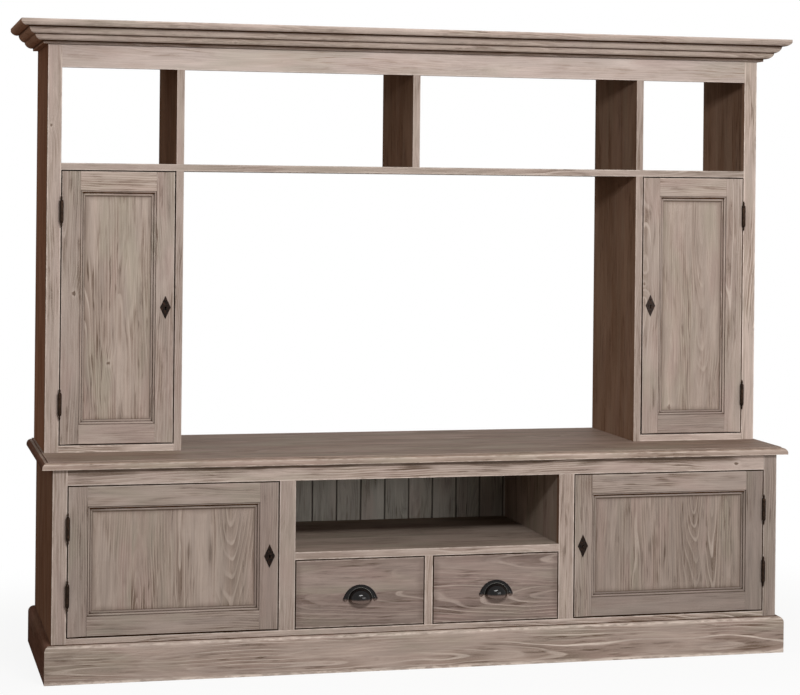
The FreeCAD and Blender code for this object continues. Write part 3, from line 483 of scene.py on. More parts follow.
# %% Knots
KNOT_ALONG = 2.4  # cells to the metre: one every 42 cm along a board
KNOT_ACROSS = 7.0  # and every 14 cm across it
KNOT_SHARE = 0.24  # of the cells have a knot
KNOT_LONG = 0.7
KNOT_SIZES = (3.5 * MM, 8 * MM)
KNOT_SWELL = 1.6
SWELL_REACH = (8.0, 0.4)  # from the middle, in sizes of the knot, as the next three are
FRAY = (1.6, -0.8)
HEART_REACH = (0.85, 0.5)
HALO_REACH = (2.4, 1.0)
HEART_AMOUNT = 0.85
HALO_AMOUNT = 0.3
FRAY_WAVES = (60, 160, 160)  # to the metre: 17 mm along the grain and 6 mm across it


def knots(node, p):
    net = node("VectorMath", [p.spot, (KNOT_ALONG, KNOT_ACROSS, 0)], operation="MULTIPLY")
    cells = node("TexVoronoi", {"Vector": net, "Scale": 1.0}, voronoi_dimensions="2D").node
    gap = node("VectorMath", [net, cells.outputs["Position"]], operation="SUBTRACT")
    metres = (KNOT_LONG / KNOT_ALONG, 1 / KNOT_ACROSS, 0)
    gap = node("VectorMath", [gap, metres], operation="MULTIPLY")
    distance = node("VectorMath", [gap], out="Value", operation="LENGTH")
    cell_luck = node("SeparateColor", [cells.outputs["Color"]]).node.outputs
    there = node("Math", [cell_luck[0], KNOT_SHARE], operation="LESS_THAN")
    size = node("MapRange", [cell_luck[1], 0.0, 1.0, *KNOT_SIZES])
    ratio = node("Math", [distance, size], operation="DIVIDE")
    swell = node("MapRange", [ratio, *SWELL_REACH, 0.0, KNOT_SWELL], **EASED)
    swell = node("Math", [swell, there], operation="MULTIPLY")
    p.swell = node("Math", [swell, size], operation="MULTIPLY")
    fray = node("VectorMath", [p.spot, FRAY_WAVES], operation="MULTIPLY")
    fray = node("TexNoise", {"Vector": fray, "Scale": 1.0, "Detail": 1.0})
    ratio = node("Math", [fray, FRAY[0], ratio], operation="MULTIPLY_ADD")
    ratio = node("Math", [ratio, FRAY[1]], operation="ADD")
    heart = node("MapRange", [ratio, *HEART_REACH, 0.0, HEART_AMOUNT], **EASED)
    p.knot_heart = node("Math", [heart, there], operation="MULTIPLY")
    halo = node("MapRange", [ratio, *HALO_REACH, 0.0, HALO_AMOUNT], **EASED)
    p.knot_halo = node("Math", [halo, there], operation="MULTIPLY")


# %% [markdown]
# The years are drawn as what they are: cylinders round the heart of the tree. It lies a few
# centimetres behind the face and is slightly tilted, so the rings come out as long arches without
# any drawing. Slow waves bend them. At the end of each year comes a pale line, and after it a shade
# that fades. Poor years have faint ones.

# %% Years
SLOW_WAVES = (2.2, 8, 8)  # to the metre: 45 cm along the grain and 12 cm across it
BEND = (0, 0.035, 0.05)  # metres
HEART_DEPTHS = (10 * MM, 55 * MM)
HEART_WANDER = 0.09
HEART_TILT = 0.09
BOARD_YEARS = 90.0
POOR_YEAR = 0.25
LINE_STARTS = (0.68, 0.82)  # as shares of a year, as the next two are
LINE_ENDS = (1.0, 0.94)
SHADE_FADES = (0.55, 0.0)


def years(node, p, ring, aside):
    slow = node("VectorMath", [p.spot, SLOW_WAVES], operation="MULTIPLY")
    slow = {"Vector": slow, "Scale": 1.0, "Detail": 2.0, "Roughness": 0.5}
    bend = node("TexNoise", slow, out="Color")
    bend = node("VectorMath", [bend, MIDDLE], operation="SUBTRACT")
    bent = node("VectorMath", [bend, BEND, p.in_stave], operation="MULTIPLY_ADD")
    bent_v, bent_w = node("SeparateXYZ", [bent]).node.outputs[1:]
    p.wavy = node("VectorMath", [p.dice, THROW, bent], operation="MULTIPLY_ADD")

    heart_v = node("Math", [p.throw[1], HEART_WANDER, bent_v], operation="MULTIPLY_ADD")
    heart_v = node("Math", [heart_v, aside * MM], operation="ADD")
    depth = node("MapRange", [p.throw[2], -0.5, 0.5, *HEART_DEPTHS])
    tilt = node("Math", [p.throw[0], HEART_TILT * 2], operation="MULTIPLY")
    heart_w = node("Math", [p.u, tilt, bent_w], operation="MULTIPLY_ADD")
    heart_w = node("Math", [heart_w, depth], operation="ADD")
    flat = node("CombineXYZ", [heart_v, heart_w])
    radius = node("VectorMath", [flat], out="Value", operation="LENGTH")
    radius = node("Math", [radius, p.swell], operation="ADD")
    count = node("Math", [radius, ring * MM], operation="DIVIDE")
    year = node("Math", [count], operation="FLOOR")
    season = node("Math", [count], operation="FRACT")
    year = node("Math", [p.luck[2], BOARD_YEARS, year], operation="MULTIPLY_ADD")
    weather = node("TexWhiteNoise", {"W": year}, noise_dimensions="1D")
    weather = node("MapRange", [weather, 0.0, 1.0, POOR_YEAR, 1.0])
    line_in = node("MapRange", [season, *LINE_STARTS], **EASED)
    line_out = node("MapRange", [season, *LINE_ENDS], **EASED)
    late = node("Math", [line_in, line_out], operation="MULTIPLY")
    p.late = node("Math", [late, weather], operation="MULTIPLY")
    soft = node("MapRange", [season, *SHADE_FADES], **EASED)
    p.soft = node("Math", [soft, weather], operation="MULTIPLY")


# %% [markdown]
# Between the years lie fibres, and dark strokes where stain filled the pores, some short and some
# long. Slow clouds change the tone, and let the grain fade here and there. Real fibres are finer
# than a tenth of a millimetre, which no picture of the whole cabinet can show, so they are drawn
# about 4 mm wide. A noise lies mostly between 0.3 and 0.7, and a band says from where to where in
# it a mark sets in.

# %% Fibres, strokes and clouds
FIBRES = (9, 230, 230)  # waves to the metre: 11 cm long and 4 mm wide
STROKES = (11, 120, 120)  # 9 cm and 8 mm
LANES = (5, 48, 48)  # 20 cm and 21 mm
CLOUDS = (3.2, 12, 12)  # 31 cm and 83 mm
SHORT_BAND = (0.53, 0.7)
LONG_BAND = (0.54, 0.72)
STRONG_BAND = (0.36, 0.6, 0.12, 1.0)


def fibres_and_clouds(node, p):
    patterns = ((p.wavy, FIBRES), (p.wavy, STROKES), (p.wavy, LANES), (p.spot, CLOUDS))
    waves = [node("VectorMath", pattern, operation="MULTIPLY") for pattern in patterns]
    noises = [node("TexNoise", {"Vector": wave, "Scale": 1.0, "Detail": 2.0}) for wave in waves]
    p.fibre, stroke, p.lane, cloud = noises
    p.short = node("MapRange", [stroke, *SHORT_BAND], **EASED)
    p.long = node("MapRange", [p.lane, *LONG_BAND], **EASED)
    patch = cloud.node.outputs["Color"]
    p.tone, p.olive, p.rose = node("SeparateColor", [patch]).node.outputs
    p.strong = node("MapRange", [p.tone, *STRONG_BAND], **EASED)


# %% [markdown]
# ## Colour in layers
# A finish is built up like the real one: a ground, then stain, lime, dirt, rubbed edges and wax,
# and with them painted shade and painted highlights. A layer is a mask, which says how much of it
# lies at a point, and a colour. The next step makes the layers of the wood itself, from the ground
# up.

# %% Layers of the wood
OLIVE = "#979381"
ROSE = "#A98F88"
GROUND_BAND = (0.62, 0.38)
TINT_BAND = (0.5, 0.68)
FIBRE_BAND = (0.48, 0.75)
SHADE_AMOUNT = 0.45  # each amount is for a look whose bold is 1
SHORT_AMOUNT = 0.9
LONG_AMOUNT = 0.85
LATE_AMOUNT = 0.85
FIBRE_AMOUNT = 0.4


def wood_layers(node, p, look):
    bold = look.bold
    ground = node("MapRange", [p.tone, *GROUND_BAND], **EASED)
    layers = [(ground, look.pale)]
    for cloud, colour in ((p.olive, OLIVE), (p.rose, ROSE)):
        mask = node("MapRange", [cloud, *TINT_BAND, 0.0, look.tint], **EASED)
        layers.append((mask, colour))
    marks = ((p.soft, SHADE_AMOUNT * bold, look.shade),
             (p.short, SHORT_AMOUNT * bold, look.shade),
             (p.long, LONG_AMOUNT * bold, look.shade),
             (p.late, min(1.0, LATE_AMOUNT * bold ** 2), look.lime))
    for mark, amount, colour in marks:
        mask = node("Math", [mark, p.strong], operation="MULTIPLY")
        mask = node("Math", [mask, amount], operation="MULTIPLY")
        layers.append((mask, colour))
    light = node("MapRange", [p.fibre, *FIBRE_BAND, 0.0, FIBRE_AMOUNT * bold], **EASED)
    return layers + [(light, look.pale), (p.knot_halo, look.lime), (p.knot_heart, look.shade)]


# %% [markdown]
# The other layers depend on how far a point is from the board's edges. Dark wax gathered along the
# border of the panels. Hollows get dark wax and painted shade, the rail under the overhanging top
# dirt and painted shade, and each panel a painted shadow under the rail above. A dark line lies in
# each joint of the back boards, with a painted highlight beside it, where a bead would catch the
# light. Hands and cloths rubbed the long edges back to the lime, in chips, and the rounds get a
# painted highlight.

# %% Layers of the edges
# A nearly black brown, laid as dark wax and as painted shade.
WAX_AND_SHADE = "#392415"
JOINT_DIRT = "#241D18"
CHIPS = (38, 130, 130)  # waves to the metre: 26 mm long and 8 mm wide
CHIP_BAND = (0.42, 0.58, 0.2, 1.0)
GLAZE_FADE = (38 * MM, 18 * MM)  # from an edge: where it sets in, and where it is full
GLAZE_WANDER = 0.03
SOIL_SHADE_FADE = (46 * MM, 35 * MM)
SOIL_SHADE_WANDER = 0.06
JOINT_FADE = (4 * MM, 1 * MM)
JOINT_HIGHLIGHT_FADE = (9 * MM, 5 * MM)
JOINT_HIGHLIGHT = 0.35
LINE_BLUR = 1.5
RAIL_SHADOW_BLUR = 4
LINE_AROUND = 0.35
SHADOW_BELOW_RAIL = 0.6
RUB_CORE = 0.2  # of the rubbed width is rubbed all over
OPEN_AIR = (0.96, 0.68)


def edge_layers(node, p, look):
    room = node("VectorMath", [p.own], operation="ABSOLUTE")
    room = node("VectorMath", [p.half, room], operation="SUBTRACT")
    room_u, room_v, room_w = node("SeparateXYZ", [room]).node.outputs
    border = node("Math", [room_u, room_v], operation="MINIMUM")
    layers = []
    if look.glaze:
        edge = node("Math", [p.tone, GLAZE_WANDER, border], operation="MULTIPLY_ADD")
        dark = node("MapRange", [edge, *GLAZE_FADE, 0.0, look.glaze], **EASED)
        layers.append((dark, look.shade))
    # The rail darkens along its upper side, under the overhanging top: painted shade, with some
    # dirt.
    if look.soil:
        edge = node("Math", [p.half_v, p.v], operation="SUBTRACT")
        edge = node("Math", [p.lane, SOIL_SHADE_WANDER, edge], operation="MULTIPLY_ADD")
        dark = node("MapRange", [edge, *SOIL_SHADE_FADE, 0.0, look.soil], **EASED)
        layers.append((dark, look.shade))
    # A dark line round the panel, wax and painted shade in the recess, and a painted shadow under
    # the rail above.
    if look.line:
        inner, outer = (look.line + LINE_BLUR) * MM, (look.line - LINE_BLUR) * MM
        around = node("MapRange", [border, inner, outer, 0.0, LINE_AROUND], **EASED)
        from_top = node("Math", [p.half_u, p.u], operation="SUBTRACT")
        shadow_below = [from_top, (look.line + RAIL_SHADOW_BLUR) * MM, look.line * MM, 0.0, SHADOW_BELOW_RAIL]
        shadow_below = node("MapRange", shadow_below, **EASED)
        layers.append((node("Math", [around, shadow_below], operation="MAXIMUM"), WAX_AND_SHADE))
    if look.joint:
        dark = node("MapRange", [room_v, *JOINT_FADE, 0.0, look.joint], **EASED)
        # The pale line beside the dark joint is a painted highlight, where a bead would catch the
        # light.
        light = node("MapRange", [room_v, *JOINT_HIGHLIGHT_FADE, 0.0, JOINT_HIGHLIGHT], **EASED)
        still = node("MapRange", [room_v, JOINT_FADE[0], JOINT_HIGHLIGHT_FADE[1]], **EASED)
        light = node("Math", [light, still], operation="MULTIPLY")
        layers += [(dark, JOINT_DIRT), (light, look.lime)]
    if look.wear:
        edge = node("Math", [room_v, room_w], operation="MAXIMUM")
        width = look.rub * MM
        wear_and_painted_light = [edge, width, RUB_CORE * width, 0.0, look.wear]
        wear_and_painted_light = node("MapRange", wear_and_painted_light, **EASED)
        # Rounds get lighter by how much they turn from the face: a painted highlight, beside the
        # real rubbing.
        arris = node("Attribute", out="Fac", attribute_name="arris")
        worn_round_and_highlight = node("Math", [arris, look.wear], operation="MULTIPLY")
        wear_and_painted_light = node("Math", [wear_and_painted_light, worn_round_and_highlight], operation="MAXIMUM")
        chips = node("VectorMath", [p.spot, CHIPS], operation="MULTIPLY")
        chips = node("TexNoise", {"Vector": chips, "Scale": 1.0, "Detail": 2.0})
        chips = node("MapRange", [chips, *CHIP_BAND], **EASED)
        layers.append((node("Math", [wear_and_painted_light, chips], operation="MULTIPLY"), look.lime))
    # Darker where the board's own shape closes round a point: painted shade in its hollows, with
    # some dark wax.
    if look.wax:
        reach = {"Distance": look.hollow * MM}
        air = node("AmbientOcclusion", reach, out="AO", samples=8, only_local=True)
        layers.append((node("MapRange", [air, *OPEN_AIR, 0.0, look.wax], **EASED), WAX_AND_SHADE))
    return layers


# %% [markdown]
# ## The whole recipe
# The steps come together here. The layers are mixed over the ground in their order, and the result
# is made lighter or darker by stave, lane, fibre and board. The noises have a mean of 0.5, so half
# of their swing is taken off first. Wax is satin on the hard latewood and matt between, and the
# brush left the lines slightly proud. Wax has an IOR of about 1.45.

# %% Pine
PLAIN = {"bold": 0.6, "ring": 5.5, "aside": 0, "tint": 0.45, "wear": 0.7, "rub": 5, "glaze": 0,
         "soil": 0, "joint": 0, "line": 0, "wax": 0, "hollow": 7, "shine": 0.15, "toned": True}
STAVE_SWING = 0.14
LANE_SWING = 0.8
FIBRE_SWING = 0.4
WAX_IOR = 1.45
MATT, SATIN = 0.68, 0.52
RIDGE = 0.4 * MM
LATE_RELIEF = 0.6
RELIEF = 0.35


def pine(name, pale, body, shade, lime, **changes):
    """Limed pine: pale and body are its ground, shade its dark strokes, lime its pale lines.

    bold: the strength of the grain. ring: the width of a year in mm. aside: how many mm the heart
    lies beside the stave, which gives straight lines instead of arches. tint: the strength of the
    olive and rose clouds. wear: the rubbing of long edges, over a width of rub in mm,
    and a painted highlight on the rounds. glaze: dark polish towards the ends and sides.
    soil: dirt and painted shade along the upper side of a rail, under the top. joint: the
    dark stripe between boards, with a painted highlight beside it. line: how many mm
    from a panel's edge a dark stripe of polish and painted shade runs round it, darkest under the
    rail above, where a shadow is painted. wax: dark polish and painted shade in hollows
    about hollow mm wide. shine: how much light the surface throws back. toned: False leaves out
    the board's own tone. The lime colour also paints the highlights.
    """
    look = SimpleNamespace(**PLAIN | changes, pale=pale, shade=shade, lime=lime)
    material, tree, shader, node = new_material(name)
    p = SimpleNamespace()
    place_in_board(node, p)
    knots(node, p)
    years(node, p, look.ring, look.aside)
    fibres_and_clouds(node, p)
    colour = linear(body)
    for mask, paint in wood_layers(node, p, look) + edge_layers(node, p, look):
        mixed = {0: mask, 6: colour, 7: linear(paint)}
        colour = node("Mix", mixed, out=2, data_type="RGBA")
    value = 1.0 - (LANE_SWING + FIBRE_SWING) / 2 * look.bold
    for noise, swing in ((p.throw[1], STAVE_SWING), (p.lane, LANE_SWING * look.bold),
                         (p.fibre, FIBRE_SWING * look.bold)):
        value = node("Math", [noise, swing, value], operation="MULTIPLY_ADD")
    if look.toned:
        own_tone = node("Attribute", out="Fac", attribute_name="tone")
        value = node("Math", [value, own_tone], operation="MULTIPLY")
    colour = node("HueSaturation", {"Value": value, "Color": colour})
    tree.links.new(colour, shader.inputs["Base Color"])
    rough = node("MapRange", [p.late, 0.0, 1.0, MATT, SATIN])
    tree.links.new(rough, shader.inputs["Roughness"])
    shader.inputs["IOR"].default_value = WAX_IOR
    shader.inputs["Specular IOR Level"].default_value = look.shine
    relief = node("Math", [p.late, LATE_RELIEF, p.fibre], operation="MULTIPLY_ADD")
    bump = node("Bump", {"Height": relief, "Strength": RELIEF, "Distance": RIDGE})
    tree.links.new(bump, shader.inputs["Normal"])
    return material


# %% [markdown]
# The same recipe gives each kind of board its own look. Frames and rails are the palest, the plinth
# and the drawers have the widest years, and drawers and lower panels are a little darker. The names
# say the finish and the part.

# %% Limed finishes
LIMED = ("#BFAFA6", "#A7968B", "#5F4C3D", "#DACCC2")

limed = pine("limed_pine", *LIMED, bold=1.0, ring=7, wear=0.85, wax=0.8, aside=60)
limed_edge = pine("limed_pine_edge", "#B1A299", "#9A8A81", "#5F4C3D", "#C8BAB0", bold=0.9,
                  wear=0.5, aside=60, toned=False)
limed_cornice = pine("limed_pine_cornice", *LIMED, bold=1.0, ring=7, wear=0.7, wax=0.95,
                     hollow=20, aside=60)
limed_rail = pine("limed_pine_rail", *LIMED, bold=1.0, ring=7, wear=0.85, soil=0.8, aside=50)
limed_soft = pine("limed_pine_quiet", "#C6B8B1", "#B7A8A1", "#84705F", "#D8CBC3", bold=0.75)
limed_wide = pine("limed_pine_plinth", "#B6A59B", "#9D8A7F", "#5A4637", "#E6D8CD", bold=1.1,
                  ring=9, wear=1.0, rub=12)
limed_top = pine("limed_pine_top", "#AF9D92", "#9F8D81", "#5E4A3B", "#DACBC0", bold=0.85, ring=8,
                 wear=1.0, rub=3, wax=0.4)
stained_top = pine("limed_pine_top_face", "#917D70", "#816D60", "#5E4A3B", "#B9A598", bold=0.85,
                   ring=8, wear=0.6, rub=25)
limed_panel = pine("limed_pine_panel", "#AFA096", "#9B8B80", "#5E4C3F", "#C2B4A9", bold=1.0,
                   ring=7, wear=0, glaze=0.45, line=10, aside=25)
limed_door = pine("limed_pine_door", "#B5A69D", "#A4958B", "#5F4B3D", "#D0C2B8", bold=0.95,
                  ring=6.5, wear=0.5, wax=0.95, hollow=11, aside=60)
limed_drawer = pine("limed_pine_drawer", "#A3938B", "#8C7A73", "#55433A", "#CABBB1", bold=1.05,
                    ring=9, glaze=0.3)
print("limed:", [m.name for m in bpy.data.materials if m.name.startswith("limed")])

# %% [markdown]
# The sides of the cabinet and the boards inside were stained but not limed. The faces that look
# sideways, some that look down, and the top of the niche's shelf are a darker, warmer brown than
# the
# fronts: partly the stain, partly painted shade, for the lamps hardly reach them. The cornice's
# returns are painted lighter instead, painted light on faces in shade. Stained wood is matt, its
# edges are hardly rubbed, and on the sides the stain hides most of the olive and rose.

# %% Stained finishes and painted shade
SIDE = {"wear": 0.2, "shine": 0, "tint": 0.15}

# Darker and warmer than the limed fronts: a stain, and painted shade on faces the lamps hardly
# reach.
stained = pine("stained_pine", "#977B68", "#866955", "#4E3426", "#9A7C69", bold=0.7, **SIDE)
stained_side = pine("stained_pine_side", "#AC8069", "#9C7058", "#5E3C2A", "#AE8A74", bold=0.7,
                    **SIDE)
# Lighter than the stain: painted light on the cornice's returns, which lie in shade.
stained_return = pine("stained_pine_return", "#D4AE97", "#C39880", "#7E5440", "#CDA890", wax=0.5,
                      **SIDE)
stained_base = pine("stained_pine_base_side", "#95735F", "#87644F", "#54392A", "#9B7A66", **SIDE)
stained_foot = pine("stained_pine_foot", "#7C5C4F", "#705041", "#402C22", "#85695A", bold=0.7,
                    wear=0.5, shine=0, tint=0.15)
# On the niche shelf's top and the partitions' sides, its darker tone is also painted shade.
unlimed = pine("stained_pine_inside", "#AC9C90", "#97877B", "#55463A", "#A59587", bold=0.7,
               wear=0.2, shine=0)
back_pine = pine("stained_pine_backs", "#BAB6AE", "#A29E96", "#57504A", "#C4C0B6", bold=1.0,
                 wear=0, shine=0, joint=0.65)
print("stained:", [m.name for m in bpy.data.materials if m.name.startswith("stained")])

# %% [markdown]
# Gaps, rims, the tops and undersides of rails, the cornice's flat undersides, the plinth's ledge
# and the walls and deepest lines of the mouldings get a nearly black brown, uneven and dull:
# painted shade on faces that lie in shadow, with some old wax in it. Old wax has no shine left, so
# the surface throws back nothing.

# %% Dark wax and painted shade
WAX_SHADE_CLOUDS = 60.0  # to the metre: 17 mm
WAX_SHADE_BAND = (0.35, 0.65)
WAX_SHADE_ROUGHNESS = 0.7


def dark_wax_and_painted_shade(name):
    material, tree, shader, node = new_material(name)
    place = node("TexCoord", out="Object")
    cloud = node("TexNoise", {"Vector": place, "Scale": WAX_SHADE_CLOUDS, "Detail": 3.0})
    amount = node("MapRange", [cloud, *WAX_SHADE_BAND])
    mixed = {0: amount, 6: linear("#36220F"), 7: linear("#563A27")}
    colour = node("Mix", mixed, out=2, data_type="RGBA")
    tree.links.new(colour, shader.inputs["Base Color"])
    shader.inputs["Roughness"].default_value = WAX_SHADE_ROUGHNESS
    shader.inputs["Specular IOR Level"].default_value = 0.0
    return material


# This finish is painted shade in gaps, on undersides and in mouldings, with some old wax.
waxed_dark_and_shade = dark_wax_and_painted_shade("dark_wax_and_painted_shade")
print("gaps:", waxed_dark_and_shade.name)

# %% [markdown]
# ## Which board gets what
# The underside of a rail can have another finish than its face, so each row of finishes comes
# with a rule that picks one by the way a face points. A rule names an axis, and how squarely the
# face has to look along it: 0.7 lets in all faces within 45 degrees, 0.95 those within 18.

# %% Rules for faces
# The second finish of most rows is darker: painted shade on faces that look down, sideways or into
# a gap.
SQUARELY = 0.7
FLAT = 0.95
STEP_UNDER = -0.93  # the flat undersides of the cornice's steps, not their hollows
SIDE_ON = 0.3
SHADED_UNDERSIDE = -0.25
RETURNED = 0.4


def any_way(normal):
    return 0


def sideways(normal):
    return int(abs(normal.x) > SQUARELY)


def upright_way(normal):
    return int(abs(normal.z) > SQUARELY)


def underside(normal):
    return int(normal.z < STEP_UNDER)


def flat_top(normal):
    return int(normal.z > FLAT)


def ledge(normal):
    return int(normal.z > FLAT or abs(normal.x) > SQUARELY)


def walls(normal):
    return int(abs(normal.y) < SIDE_ON)


# Door frames: the walls of the gap, and moulding faces that look down, get the dark finish as
# painted shade.
def walls_and_shaded_undersides(normal):
    return int(abs(normal.y) < SIDE_ON or normal.z < SHADED_UNDERSIDE)


def top_and_ends(normal):
    return 2 if abs(normal.x) > RETURNED else upright_way(normal)


# %% [markdown]
# The first row whose word is in a node's name gives its finishes and their rule. A list with the
# name of every node would be longer and harder to keep right.

# %% Rows of finishes
INSIDE = ("loose_shelves", "shelf_cleats", "drawer_stops", "base_bottom", "drawer_right",
          "drawer_left", "hutch_top")

FINISHES = (
    (("frieze",), (limed_soft, stained), upright_way),
    (("base_top_rail",), (limed_rail, waxed_dark_and_shade), upright_way),
    (("rail",), (limed, waxed_dark_and_shade), upright_way),
    (("cornice_front",), (limed_cornice, waxed_dark_and_shade), underside),
    (("cornice_returns",), (stained_return, unlimed), flat_top),
    (("back_boards",), (back_pine,), any_way),
    (("door_right_panel", "door_left_panel"), (limed_panel,), any_way),
    (("door",), (limed_door, waxed_dark_and_shade), walls_and_shaded_undersides),
    (("drawer_right_front", "drawer_left_front"), (limed_drawer, waxed_dark_and_shade), walls),
    (INSIDE, (unlimed,), any_way),
    (("plinth_front",), (limed_wide, waxed_dark_and_shade), ledge),
    (("plinth_returns",), (stained_foot,), any_way),
    (("base_top",), (limed_top, stained_top, stained_foot), top_and_ends),
    (("niche_shelf",), (limed, unlimed), upright_way),
    (("partition",), (limed, unlimed), sideways),
    (("hutch_side_right",), (limed, stained), sideways),
    (("base_side",), (limed, stained_base), sideways),
    (("side",), (limed, stained_side), sideways),
    (("upper_dividers", "tower_panel"), (limed_edge, stained), sideways),
    (("divider", "stiles"), (limed, stained), sideways),
    (("",), (limed,), any_way),
)
print("rows of finishes:", len(FINISHES))

# %% [markdown]
# No two boards took the stain alike. A tone makes a board lighter or darker than its finish, in the
# order in which the node stores its boards. Nodes that aren't named here have a tone of 1.

# %% Tones
TONES = {
    "hutch_stiles": (1.12, 0.94),
    "hutch_shelf": (0.87,),
    "tower_panel_right": (1.04,),
    "upper_dividers": (1.2, 1.08, 0.92),
    "tower_door_left_frame": (0.96, 0.94, 0.91, 1.12),
    "tower_door_right_frame": (0.98, 1.05, 0.78, 1.0),
    "base_door_left_frame": (0.7, 0.81, 0.81, 0.87),
    "base_door_left_panel": (0.9,),
    "base_door_right_frame": (0.77, 0.63, 0.62, 0.81),
    "base_door_right_panel": (0.83,),
    "base_stiles": (0.67, 0.86),
    "base_mid_stiles": (0.92, 0.83),
    "base_top_rail": (0.91,),
    "drawer_left_front": (0.88,),
    "drawer_right_front": (0.91,),
    "niche_shelf": (0.88,),
    "plinth_front": (0.89,),
}
print("boards with a tone:", sum(len(tones) for tones in TONES.values()))

# %% [markdown]
# The grain of a rail runs along it and that of a stile up it, which is each board's longest side.
# Panels, partitions and dividers can be wider than high and still have upright grain, and a deep
# shelf has its grain from side to side even where it is short, so these are named.

# %% Dress the wood
UPRIGHT = ("partition", "upper_dividers", "drawer_divider", "_panel", "tower_back", "base_back")
ALONG_X = ("tower_bottoms", "hutch_shelf", "niche_shelf", "base_top")
METAL = ("hinge", "lock", "bolt", "pull")
RIMMED = ("right_frame", "left_frame", "drawer_right_front", "drawer_left_front")


def named(node_name, words):
    return any(word in node_name for word in words)


boards = 0
for node_name in sorted(nodes):
    if named(node_name, METAL):
        continue
    along = "X" if named(node_name, ALONG_X) else "Z" if named(node_name, UPRIGHT) else None
    finishes, pick = next(row[1:] for row in FINISHES if named(node_name, row[0]))
    tones = TONES.get(node_name, (1.0,))
    boards += dressed(node_name, finishes, pick, along, tones, named(node_name, RIMMED))
print("boards:", boards)

# %% [markdown]
# ## Iron
# Hinges and keyhole plates are dark waxed iron, rough from the forge scale. The cup pulls are cast,
# enamelled black and glossy. The brown on their lips is a painted reflection of the wood below, and
# there the iron shows bare; the grey on their fillets is a painted reflection too. Both are made
# from one recipe: a dark metal with a little brown in it and a cloudy gloss, with clouds of about 5
# mm.

# %% Iron finishes
CLOUD = 5 * MM
GLOSS_SWING = 0.08
GLOSS_BAND = (0.3, 0.7)
BROWN_BAND = (0.45, 0.7)
LIP_EDGE_WAVE = 4 * MM
PITS = 900.0  # to the metre: 1.1 mm, coarser than real ones, so that they show
PIT_DEPTH = 0.2 * MM
BARE = 0.9


def iron(name, colour, brown, roughness, pits, metal=0.9, gloss=0.5, wear_and_painted_light=None):
    """wear_and_painted_light is the colour of a painted reflection of the wood, on a part where the
    iron shows through the enamel, and the heights in metres between which it fades out.

    metal is 0 for an enamel, under which the metal shows only in that part, and gloss is the
    share of light that its surface throws back.
    """
    material, tree, shader, node = new_material(name)
    place = node("TexCoord", out="Object")
    cloud = node("TexNoise", {"Vector": place, "Scale": 1 / CLOUD, "Detail": 3.0})
    swing = (roughness - GLOSS_SWING, roughness + GLOSS_SWING)
    rough = node("MapRange", [cloud, *GLOSS_BAND, *swing])
    tree.links.new(rough, shader.inputs["Roughness"])
    amount = node("MapRange", [cloud, *BROWN_BAND], **EASED)
    mixed = {0: amount, 6: linear(colour), 7: linear(brown)}
    mixed = node("Mix", mixed, out=2, data_type="RGBA")
    if wear_and_painted_light:
        # The lip's brown is a painted reflection of the wood below, and there the surface is made
        # metallic, as bare iron.
        painted_reflection, full, gone = wear_and_painted_light
        height = node("SeparateXYZ", [place], out="Z")
        height = node("Math", [cloud, LIP_EDGE_WAVE, height], operation="MULTIPLY_ADD")
        bare_and_reflected = node("MapRange", [height, gone, full], **EASED)
        mixed = node("Mix", {0: bare_and_reflected, 6: mixed, 7: linear(painted_reflection)}, out=2, data_type="RGBA")
        bare_and_reflected = node("Math", [bare_and_reflected, BARE], operation="MULTIPLY")
        tree.links.new(bare_and_reflected, shader.inputs["Metallic"])
    tree.links.new(mixed, shader.inputs["Base Color"])
    shader.inputs["Metallic"].default_value = metal
    shader.inputs["Specular IOR Level"].default_value = gloss
    fine = node("TexNoise", {"Vector": place, "Scale": PITS, "Detail": 2.0})
    bump = node("Bump", {"Height": fine, "Strength": pits, "Distance": PIT_DEPTH})
    tree.links.new(bump, shader.inputs["Normal"])
    return material


waxed_iron = iron("waxed_iron", "#20160F", "#38281D", roughness=0.42, pits=0.4)
plate_iron = iron("waxed_iron_plate", "#17110E", "#2A1B13", roughness=0.34, pits=0.3)
lip_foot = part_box("drawer_right_pull")[0].z
# The brown on the cup's lip is a painted reflection of the drawer front below.
lip_reflection = ("#6B5B54", lip_foot + 14 * MM, lip_foot + 21 * MM)
black_enamel = iron("black_enamelled_iron", "#0B0909", "#17100D", roughness=0.13, pits=0.03,
                    metal=0.0, gloss=0.22, wear_and_painted_light=lip_reflection)
# A lighter grey for the fillet: a painted reflection in the valley between dome and plate.
fillet_reflection_enamel = iron("black_enamelled_iron_painted_reflection", "#4A4845", "#2E2C2A", roughness=0.25,
                     pits=0.05)
print("iron finishes:", waxed_iron.name, black_enamel.name)

# %% [markdown]
# ## Hinges
# Each door hangs on two turned hinges: a barrel in two halves with a pointed finial at each end,
# and two leaves let into the edges of door and stile. A profile spun round the pin's line makes a
# half barrel, as on a lathe. The one for the frame is the same shape upside down.

# %% Turned shapes and bars
SPIN_STEPS = 32


def turned(bm, profile, steps=SPIN_STEPS):
    """Adds a shape turned round the Z axis from (radius, height) points in mm. Returns it."""
    points = [bm.verts.new((radius * MM, 0, height * MM)) for radius, height in profile]
    edges = [bm.edges.new(pair) for pair in zip(points, points[1:])]
    before = set(bm.verts) - set(points)
    bmesh.ops.spin(bm, geom=points + edges, cent=(0, 0, 0), axis=(0, 0, 1), dvec=(0, 0, 0),
                   angle=math.tau, steps=steps, use_merge=True, use_duplicate=False)
    made = [v for v in bm.verts if v not in before]
    bmesh.ops.remove_doubles(bm, verts=made, dist=MERGE)
    return [v for v in bm.verts if v.is_valid and v not in before]


